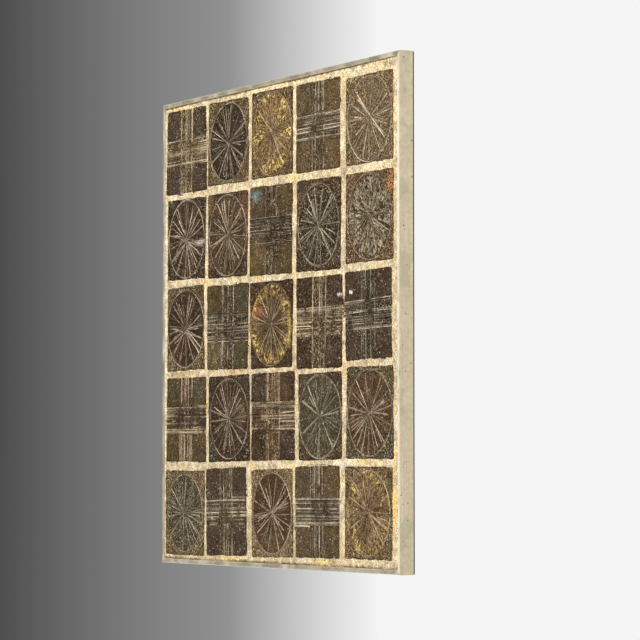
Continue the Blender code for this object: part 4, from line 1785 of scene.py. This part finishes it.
    def panel_outline(self, outline: Array) -> Array:
        """Places the outline on the panel.

        Args:
            outline: one (x, z) a row, in the tile's own mm.

        Returns:
            The same points in the panel's mm.
        """
        low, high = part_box(self.node_name)
        turn = math.radians(self.tile.turn)
        x, z = outline.T
        centre_x, centre_z = (low[0] + high[0]) / 2 / MM, (low[2] + high[2]) / 2 / MM
        right = centre_x + x * math.cos(turn) - z * math.sin(turn)
        up = centre_z + x * math.sin(turn) + z * math.cos(turn)
        return np.stack([right, up], axis=1)


# Grout

LIME = paint(200, 179, 140)
YELLOWED = paint(220, 190, 122)
WHITENED = paint(236, 224, 196)
GREYED = paint(160, 146, 120)
# painted shade on the grout beside the top and bottom lips
PAINTED_LIP_SHADE = paint(98, 76, 44)


@dataclass(frozen=True)
class GroutBed:
    """The bed of grout: its rough face between the tiles, its pockets and its hidden edge."""

    spacing: float = 2.3
    lap: float = 4.5  # how far the face runs in over a tile's dropped edge
    edge_gap: float = 1.3
    lip_width: float = 9.0
    pocket_floor: float = 22.2 * MM
    under_lip: float = 29.7 * MM
    face: float = 31.95 * MM
    blooms: tuple[Bloom, ...] = (
        Bloom(479, -368, 9, 40, paint(238, 186, 98), 1.0),
        Bloom(479, -300, 9, 30, YELLOWED, 0.5),
        Bloom(205, -484, 42, 9, YELLOWED, 1.0),
        Bloom(-180, -484, 60, 8, YELLOWED, 0.6),
        Bloom(88, 288, 13, 13, YELLOWED, 1.0),
        Bloom(287, 288, 14, 11, GREYED, 0.9),
        Bloom(287, -288, 13, 13, GREYED, 0.8),
        Bloom(-410, -93, 55, 8, OCHRE, 0.4),
        Bloom(-168, -93, 40, 8, ORANGE, 0.25),
        Bloom(-290, 392, 5, 34, RUST, 0.45),
        Bloom(478, -262, 9, 20, paint(246, 190, 128), 0.8),
        Bloom(-430, 487, 50, 6, YELLOWED, 0.9),
        Bloom(-86, 487, 60, 6, YELLOWED, 0.4),
        Bloom(86, -20, 5, 60, GREYED, 0.4),
        Bloom(300, -286, 40, 8, WHITENED, 0.9),
        Bloom(360, -286, 40, 8, YELLOWED, 0.6),
        Bloom(-489, 0, 6, 480, WHITENED, 0.8),
        Bloom(456, 480, 16, 9, OCHRE, 0.55),
    )

    @property
    def half(self) -> float:
        """Half the raised face's side, in mm."""
        return CAD_BOX[1][0] / MM - self.lip_width - self.edge_gap

    def smear(self, x: Array, z: Array) -> Array:
        """How far the grout is smeared in over the tiles' edges, in mm."""
        return np.clip(0.25 + 0.6 * Ripple(71, 9.0, 120.0, 30)(x, z), 0.0, 2.4)

    def build(self, outlines: Sequence[Array], material: bpy.types.Material) -> bpy.types.Object:
        """Builds the bed round the tiles.

        Args:
            outlines: the tiles' outlines in the panel's mm.
            material: the grout's finish.

        Returns:
            The bed.
        """
        outline = self.square()
        sheet = SheetMesh(outline)
        for inset in (0.8, 2.6):
            sheet.add_line(inset_loop(outline, inset), closed=True)
        axis = np.arange(-self.half + 4.0, self.half - 4.0, self.spacing)
        grid = np.stack(np.meshgrid(axis, axis, indexing="ij"), axis=-1).reshape(-1, 2)
        draw = np.random.default_rng(17)
        grid = grid + draw.uniform(-0.32, 0.32, grid.shape) * self.spacing
        inside = depth_in_any(grid, outlines)
        grid = grid[(inside < self.lap - 0.8) & (np.abs(inside) > 0.7)]
        sheet.add_points(grid)
        for loop in outlines:
            sheet.add_line(loop, closed=True)
            sheet.add_line(inset_loop(loop, self.lap), closed=True)
        points, triangles = sheet.triangulate()
        depth = depth_in_any(points, outlines)
        triangles = triangles[~(depth[triangles] > self.lap - 0.15).all(axis=1)]
        used, triangles = np.unique(triangles, return_inverse=True)
        triangles = triangles.reshape(-1, 3)
        points, depth = points[used], depth[used]
        return self.assemble(points, triangles, self.heights(points, depth), material)

    def square(self) -> Array:
        """Draws the raised face's outline with points along its sides.

        Returns:
            The outline, anticlockwise.
        """
        side = np.arange(-self.half, self.half, self.spacing * 1.5)
        fixed = np.full_like(side, self.half)
        runs = ((side, -fixed), (fixed, side), (-side, fixed), (-fixed, -side))
        return np.concatenate([np.stack(run, axis=1) for run in runs])

    def heights(self, points: Array, depth: Array) -> Array:
        """Makes the face uneven and smears it up the tiles' edges.

        Args:
            points: the face's (x, z) rows in mm.
            depth: how far inside a tile each point lies.

        Returns:
            How far each point stands out, in mm.
        """
        x, z = points.T
        draw = np.random.default_rng(23)
        broad = Ripple(31, 18.0, 150.0, 20)(x, z) * 0.16
        small = Ripple(37, 5.0, 16.0, 30)(x, z) * 0.10
        grit = draw.uniform(-0.12, 0.12, len(x))
        away = np.clip(-depth, 0.0, 6.0) / 6.0
        height = broad + small + grit + 0.18 * (1.0 - away) - 0.05
        smear = self.smear(x, z)
        over = np.clip(depth, 0.0, None)
        rise = 0.45 * ease(-1.0, 0.6, depth)
        height = height + rise * np.clip(smear / 1.5, 0.0, 1.0)
        height = height - 0.9 * np.clip(over - smear, 0.0, None)
        height -= 0.5 * ease(2.2, 0.0, self.half - np.abs(x))
        height -= 1.5 * ease(3.2, 0.2, self.half - np.abs(z))
        return height

    def colours(self, points: Array) -> Array:
        """Mixes the grout's colour before its mottling, with painted shade beside the top and bottom lips.

        Args:
            points: the face's (x, z) rows in mm.

        Returns:
            One colour a row.
        """
        x, z = points.T
        colour = np.tile(LIME, (len(x), 1))
        for cast, ripple, low, high, most in (
            (YELLOWED, Ripple(41, 20.0, 160.0, 20), -0.2, 1.6, 0.45),
            (WHITENED, Ripple(43, 12.0, 90.0, 20), -0.3, 1.8, 0.38),
            (GREYED, Ripple(47, 8.0, 60.0, 20), 0.8, 2.0, 0.6),
        ):
            share = ease(low, high, ripple(x, z))[:, None] * most
            colour = colour * (1 - share) + np.outer(share, cast)
        ragged = Ripple(53, 5.0, 30.0)(x, z) * 0.2
        for bloom in self.blooms:
            away = np.hypot((x - bloom.right) / bloom.wide, (z - bloom.up) / bloom.high) + ragged
            share = (ease(1.3, 0.6, away) * bloom.strength)[:, None]
            colour = colour * (1.0 - share) + np.outer(share, bloom.colour)
        # painted shade along the top and bottom lips, in patches and fading out towards the right
        kept = np.clip(0.8 + 0.5 * Ripple(61, 40.0, 300.0)(x, np.sign(z) * 90.0), 0.1, 1.0)
        kept = kept * ease(480.0, 330.0, x)
        lip_shade = (ease(4.4, 1.4, self.half + ragged * 6.0 - np.abs(z)) * 0.85 * kept)[:, None]
        return colour * (1.0 - lip_shade) + np.outer(lip_shade, PAINTED_LIP_SHADE)

    def assemble(
        self, points: Array, triangles: Array, height: Array, material: bpy.types.Material
    ) -> bpy.types.Object:
        """Closes the face with its pockets, the shelf under the lips, its sides and its back.

        Args:
            points: the face's (x, z) rows in mm.
            triangles: the face's triangles.
            height: how far each point stands out, in mm.
            material: the grout's finish.

        Returns:
            The bed.
        """
        shell = Shell()
        front = -self.face - height * MM
        flat = (points * MM).tolist()
        shell.points = [(x, y, z) for (x, z), y in zip(flat, front.tolist())]
        shell.faces = triangles.tolist()
        for loop in border_loops(triangles):
            outer = np.abs(points[loop]).max() > self.half - 0.01
            plane = -self.under_lip if outer else -self.pocket_floor
            first = len(shell.points)
            shell.points += [(flat[here][0], plane, flat[here][1]) for here in loop]
            for here, number in enumerate(loop):
                after = (here + 1) % len(loop)
                shell.faces.append([number, first + here, first + after, loop[after]])
            if outer:
                shelf = (first, len(loop))
            else:
                shell.faces.append([first + here for here in reversed(range(len(loop)))])
        self.close_back(shell, shelf)
        bed = shell.object("sandy_grout_bed", material, 70.0)
        colour = np.tile(LIME, (len(shell.points), 1))
        colour[: len(points)] = self.colours(points)
        carry(bed, "ground", "FLOAT_COLOR", colour)
        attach(bed, ROOT)
        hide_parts("grout_bed")
        return bed

    def close_back(self, shell: Shell, shelf: tuple[int, int]) -> None:
        """Adds the shelf under the lips, the bed's sides and its back.

        Args:
            shell: the mesh in the making.
            shelf: the first point and the count of the shelf's inner loop.
        """
        low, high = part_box("grout_bed")
        reach, back = -float(low[0]), float(high[1])
        first, count = shelf
        rim = []
        for number in range(first, first + count):
            x, _, z = shell.points[number]
            grow = reach / max(abs(x), abs(z))
            rim.append((x * grow, z * grow))
        outer = len(shell.points)
        shell.points += [(x, -self.under_lip, z) for x, z in rim]
        shell.points += [(x, back, z) for x, z in rim]
        for here in range(count):
            after = (here + 1) % count
            shell.faces.append([first + here, outer + here, outer + after, first + after])
            deep, next_deep = outer + count + here, outer + count + after
            shell.faces.append([outer + here, deep, next_deep, outer + after])
        shell.faces.append([outer + count + here for here in reversed(range(count))])


# Rails


class Side(Enum):
    """Which side of the panel a rail edges, with its quarter turns from the top."""

    TOP = 0
    LEFT = 1
    BOTTOM = 2
    RIGHT = 3


@dataclass(frozen=True)
class MetalRail:
    """One mitred rail: an angle section with a lip over the front."""

    side: Side
    lip_width: float = 9.0
    lip_thickness: float = 3.0
    wall: float = 3.2
    arris: float = 1.2
    board_proud: float = 3.0
    gap: float = 0.3
    stations: int = 110
    dent: float = 0.07
    # how pale the lip and the arris are: wear in patches, and painted highlight where high
    lip_wear_and_highlight: float = 0.2
    edge_wear_and_highlight: float = 0.8

    def section(self) -> tuple[Array, Array]:
        """The section's points.

        Returns:
            (inward, outward-from-wall) rows in mm, and how near each is to the front arris.
        """
        depth = -CAD_BOX[0][1] / MM
        wall = [(0.0, level) for level in np.linspace(self.board_proud, depth - self.arris, 9)]
        turn = [
            (self.arris * (1 - math.cos(angle)), depth - self.arris * (1 - math.sin(angle)))
            for angle in np.linspace(0.0, math.pi / 2, 7)[1:]
        ]
        lip = [(inward, depth) for inward in np.linspace(self.arris, self.lip_width - 0.35, 5)[1:]]
        edge = [(self.lip_width, depth - 0.35), (self.lip_width, depth - self.lip_thickness)]
        hidden = [(self.wall, depth - self.lip_thickness), (self.wall, self.board_proud)]
        points = np.array(wall + turn + lip + edge + hidden)
        near = np.zeros(len(points))
        near[len(wall) - 1] = 0.25
        near[len(wall) : len(wall) + len(turn) - 1] = 1.0
        near[len(wall) + len(turn) - 1] = 0.6
        near[len(wall) + len(turn) + len(lip) - 1] = 0.5
        return points, near

    def build(self, material: bpy.types.Material) -> bpy.types.Object:
        """Sweeps the section along its side, mitres its ends, hangs it on the root body and hides the solid
        it stands for.

        Args:
            material: the metal's finish.

        Returns:
            The rail.
        """
        name = self.side.name.lower()
        section, near = self.section()
        half = CAD_BOX[1][0] / MM
        shell = Shell()
        shares = np.linspace(-1.0, 1.0, self.stations)
        developed = np.concatenate([[0.0], np.cumsum(np.linalg.norm(np.diff(section, axis=0), axis=1))])
        bumps = Ripple(90 + self.side.value, 30.0, 400.0, 16)
        grain, arris, lips = [], [], []
        on_lip = ease(self.arris * 0.6, self.arris * 1.3, section[:, 0])
        on_lip = on_lip * (section[:, 1] > section[:, 1].max() - 1.0)
        patches = Ripple(95 + self.side.value, 12.0, 120.0, 20)
        for share in shares:
            along = share * (half - section[:, 0] - self.gap)
            shift = bumps(along, developed) * self.dent
            inward = section[:, 0] + np.clip(shift, 0.0, None)
            out = section[:, 1] - np.where(section[:, 0] > self.arris, np.abs(shift), 0.0)
            for a, i, o in zip(along, inward, out):
                shell.points.append((a * MM, -o * MM, (half - i) * MM))
            own = np.full_like(along, self.side.value * 7.0)
            grain.append(np.stack([along * 0.004, developed * 1.3, own], axis=1))
            arris.append(near * self.edge_wear_and_highlight)
            lips.append(on_lip * np.clip(self.lip_wear_and_highlight + 0.16 * patches(along, developed), 0.0, 1.0))
        count = len(section)
        for here in range(self.stations - 1):
            for point in range(count):
                after = (point + 1) % count
                a, b = here * count + point, here * count + after
                shell.faces.append([a, b, b + count, a + count])
        shell.faces.append(list(reversed(range(count))))
        last = (self.stations - 1) * count
        shell.faces.append([last + point for point in range(count)])
        turn = Matrix.Rotation(math.radians(-90 * self.side.value), 4, "Y")
        shell.points = [tuple(turn @ Vector(point)) for point in shell.points]
        rail = shell.object(f"brushed_rail_{name}", material, 40.0)
        carry(rail, "grain", "FLOAT_VECTOR", np.concatenate(grain))
        carry(rail, "arris", "FLOAT", np.concatenate(arris))
        carry(rail, "lip", "FLOAT", np.concatenate(lips))
        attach(rail, ROOT)
        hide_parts(f"frame_rail_{name}")
        return rail


@dataclass(frozen=True)
class BackingBoard:
    """The board behind it all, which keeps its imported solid."""

    edge_break: float = 0.4 * MM

    def dress(self, material: bpy.types.Material) -> bpy.types.Object:
        """Gives the solid its finish and breaks its edges.

        Args:
            material: the board's finish.

        Returns:
            The board.
        """
        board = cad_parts["backing_board"]
        for slot in board.material_slots:
            slot.material = material
        bevel = board.modifiers.new("broken_edges", "BEVEL")
        bevel.width = self.edge_break
        bevel.segments = 2
        return board


# The studio


@dataclass(frozen=True)
class Softbox:
    """An even rectangular light."""

    name: str
    place: tuple[float, float, float]
    aim: tuple[float, float, float]
    width: float
    height: float
    power: float
    colour: Colour = (1.0, 1.0, 1.0)

    def build(self) -> bpy.types.Object:
        """Hangs the light and points it.

        Returns:
            The lamp.
        """
        light = bpy.data.lights.new(self.name, "AREA")
        light.shape = "RECTANGLE"
        light.size, light.size_y = self.width, self.height
        light.energy = self.power
        light.color = self.colour
        lamp = bpy.data.objects.new(self.name, light)
        bpy.context.scene.collection.objects.link(lamp)
        lamp.location = self.place
        aim = Vector(self.aim) - Vector(self.place)
        lamp.rotation_mode = "QUATERNION"
        lamp.rotation_quaternion = aim.to_track_quat("-Z", "Y")
        return lamp


@dataclass(frozen=True)
class Studio:
    """Plain pale floor, soft light, and the camera."""

    lens: float = 170.5
    eye: tuple[float, float, float] = (5.41810, -3.01753, -0.31376)
    forward: tuple[float, float, float] = (-0.86712, 0.49542, 0.05164)
    upward: tuple[float, float, float] = (0.04494, -0.02543, 0.99867)
    floor_level: float = -1.5
    floor_radius: float = 11.0
    room: Colour = (0.80, 0.80, 0.81)
    open_side: tuple[float, float, float] = (0.86, 0.48, 0.15)
    open_glow: Colour = (1.12, 1.10, 1.06)
    closed_glow: Colour = (0.03, 0.03, 0.03)
    backdrop: tuple[tuple[float, int], ...] = ((-0.11, 70), (-0.03, 145), (0.02, 245))

    def build(self) -> None:
        """Builds everything."""
        bpy.context.scene.view_settings.view_transform = "Standard"
        self.camera()
        self.world()
        self.floor()
        for lamp in self.lights():
            lamp.build()

    def camera(self) -> None:
        """Places the camera."""
        data = bpy.data.cameras.new("camera")
        data.lens = self.lens
        data.sensor_width = 36.0
        data.clip_end = 100.0
        camera = bpy.data.objects.new("camera", data)
        bpy.context.scene.collection.objects.link(camera)
        ahead, up = Vector(self.forward), Vector(self.upward)
        turn = Matrix((ahead.cross(up), up, -ahead)).transposed()
        camera.matrix_world = Matrix.Translation(self.eye) @ turn.to_4x4()
        bpy.context.scene.camera = camera

    def lights(self) -> tuple[Softbox, ...]:
        """The lights."""
        return (
            Softbox("key", (0.5, -1.9, 3.8), (0.0, 0.0, 0.0), 1.4, 1.0, 225.0, (1.0, 0.98, 0.95)),
            Softbox("front_fill", (2.2, -4.4, 0.8), (0.0, 0.0, 0.0), 2.4, 2.4, 40.0),
        )

    def world(self) -> None:
        """A pale room. Behind the object it deepens to grey on the one side."""
        world = bpy.data.worlds.new("room")
        world.use_nodes = True
        tree = world.node_tree
        back = tree.nodes["Background"]
        direction = node(tree, "ShaderNodeTexCoord").outputs["Generated"]
        ahead = Vector(self.forward)
        right = ahead.cross(Vector(self.upward))
        aside = self.along(tree, direction, right)
        facing = self.along(tree, direction, ahead)
        span = (self.backdrop[0][0], self.backdrop[-1][0])
        ramp = node(tree, "ShaderNodeValToRGB", {0: spread_linear(tree, aside, *span)})
        self.fill_ramp(ramp)
        open_side = spread_linear(tree, self.along(tree, direction, Vector(self.open_side)), -1.0, 1.0)
        lit = tint(tree, open_side, self.closed_glow, self.open_glow)
        seen = tint(tree, spread(tree, facing, 0.93, 0.97), paint(250, 250, 250), ramp.outputs[0])
        camera_ray = node(tree, "ShaderNodeLightPath").outputs["Is Camera Ray"]
        tree.links.new(tint(tree, camera_ray, lit, seen), back.inputs["Color"])
        bpy.context.scene.world = world

    def fill_ramp(self, ramp: bpy.types.Node) -> None:
        """Sets the backdrop's greys.

        Args:
            ramp: the colour ramp's node.
        """
        elements = ramp.color_ramp.elements
        first, last = self.backdrop[0][0], self.backdrop[-1][0]
        while len(elements) < len(self.backdrop):
            elements.new(0.5)
        for element, (aside, grey) in zip(elements, self.backdrop):
            element.position = (aside - first) / (last - first)
            element.color = (*paint(grey, grey, grey), 1.0)

    def along(self, tree: Tree, direction: Socket, axis: Vector) -> Socket:
        """How far a direction points along an axis."""
        made = node(tree, "ShaderNodeVectorMath", {0: direction, 1: tuple(axis)}, operation="DOT_PRODUCT")
        return made.outputs["Value"]

    def floor(self) -> None:
        """A plain pale floor well below, which fades out at its rim."""
        bpy.ops.mesh.primitive_circle_add(
            vertices=96, radius=self.floor_radius, fill_type="NGON", location=(0.0, 0.0, self.floor_level)
        )
        floor = bpy.context.object
        floor.name = "studio_floor"
        material, shader = new_material("studio_floor")
        tree = material.node_tree
        place = own_place(tree)
        reach = node(tree, "ShaderNodeVectorMath", {0: place}, operation="LENGTH").outputs["Value"]
        alpha = spread(tree, reach, self.floor_radius * 0.98, self.floor_radius * 0.5)
        tree.links.new(alpha, shader.inputs["Alpha"])
        shader.inputs["Base Color"].default_value = (*self.room, 1.0)
        shader.inputs["Roughness"].default_value = 0.8
        floor.data.materials.append(material)
        floor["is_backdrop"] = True


def spread_linear(tree: Tree, value: Socket, low: float, high: float) -> Socket:
    """The value mapped straight from low..high to 0..1, and held there."""
    return node(tree, "ShaderNodeMapRange", {0: value, 1: low, 2: high}).outputs[0]


GLAZES = {
    "olive": Glaze("olive_glaze", streak=paint(140, 122, 84), line=paint(238, 216, 180)),
    "umber": Glaze("umber_glaze", streak=paint(116, 92, 68), line=paint(224, 204, 178)),
    "amber": Glaze(
        "amber_glaze",
        line=paint(204, 186, 150),
        streak=paint(134, 98, 42),
        streak_cut=0.50,
        pooled=paint(236, 206, 116),
        frost=paint(152, 126, 96),
        nodule=paint(212, 188, 146),
        contrast=0.4,
        speckle=1.5,
        streak_strength=0.05,
        syrup=0.52,
        pale_share=0.14,
    ),
    "moss": Glaze("moss_glaze", streak=paint(112, 102, 72), line=paint(214, 200, 174)),
    "ash": Glaze("ash_glaze", streak=paint(150, 136, 106), pale_share=0.24),
    "plum": Glaze("plum_glaze", streak=paint(104, 88, 66), line=paint(230, 214, 186)),
    "ochre": Glaze("ochre_glaze", streak=paint(132, 106, 68), line=paint(230, 208, 172)),
}


def record_sizes() -> None:
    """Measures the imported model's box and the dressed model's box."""
    boxes = {"cad": CAD_BOX, "visual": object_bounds()}
    plain = {name: [[float(v) for v in corner] for corner in box] for name, box in boxes.items()}


def main() -> None:
    """Builds the relief and its studio."""
    logging.basicConfig(level=logging.INFO, format="%(message)s")
    effects = Effects(Clouding(), Flecks(), Streaks(), Tooth())
    glazes = {name: glaze.material(effects) for name, glaze in GLAZES.items()}
    outlines = []
    for row, tiles in enumerate(LAYING):
        for column, tile in enumerate(tiles):
            slab = TileSlab(tile, row, column)
            made = slab.build(glazes[tile.glaze])
            outlines.append(slab.panel_outline(slab.outline()))
            LOG.info("%s: %d faces", made.name, len(made.data.polygons))
    bed = GroutBed().build(outlines, SandyGrout().material(effects))
    LOG.info("%s: %d faces", bed.name, len(bed.data.polygons))
    metal = SatinMetal().material(effects)
    # the top and bottom arris and the right lip are mostly painted highlight; the rest is wear
    wear_and_highlight = {Side.TOP: (0.15, 0.9), Side.LEFT: (0.25, 0.1), Side.BOTTOM: (0.25, 0.9), Side.RIGHT: (0.95, 0.1)}
    for side, (lip_wear_and_highlight, edge_wear_and_highlight) in wear_and_highlight.items():
        rail = MetalRail(side, lip_wear_and_highlight=lip_wear_and_highlight, edge_wear_and_highlight=edge_wear_and_highlight).build(metal)
        LOG.info("%s: %d faces", rail.name, len(rail.data.polygons))
    board = BackingBoard().dress(BlackenedBoard().material(effects))
    LOG.info("%s dressed", board.name)
    Studio().build()
    record_sizes()


if __name__ == "__main__":
    main()
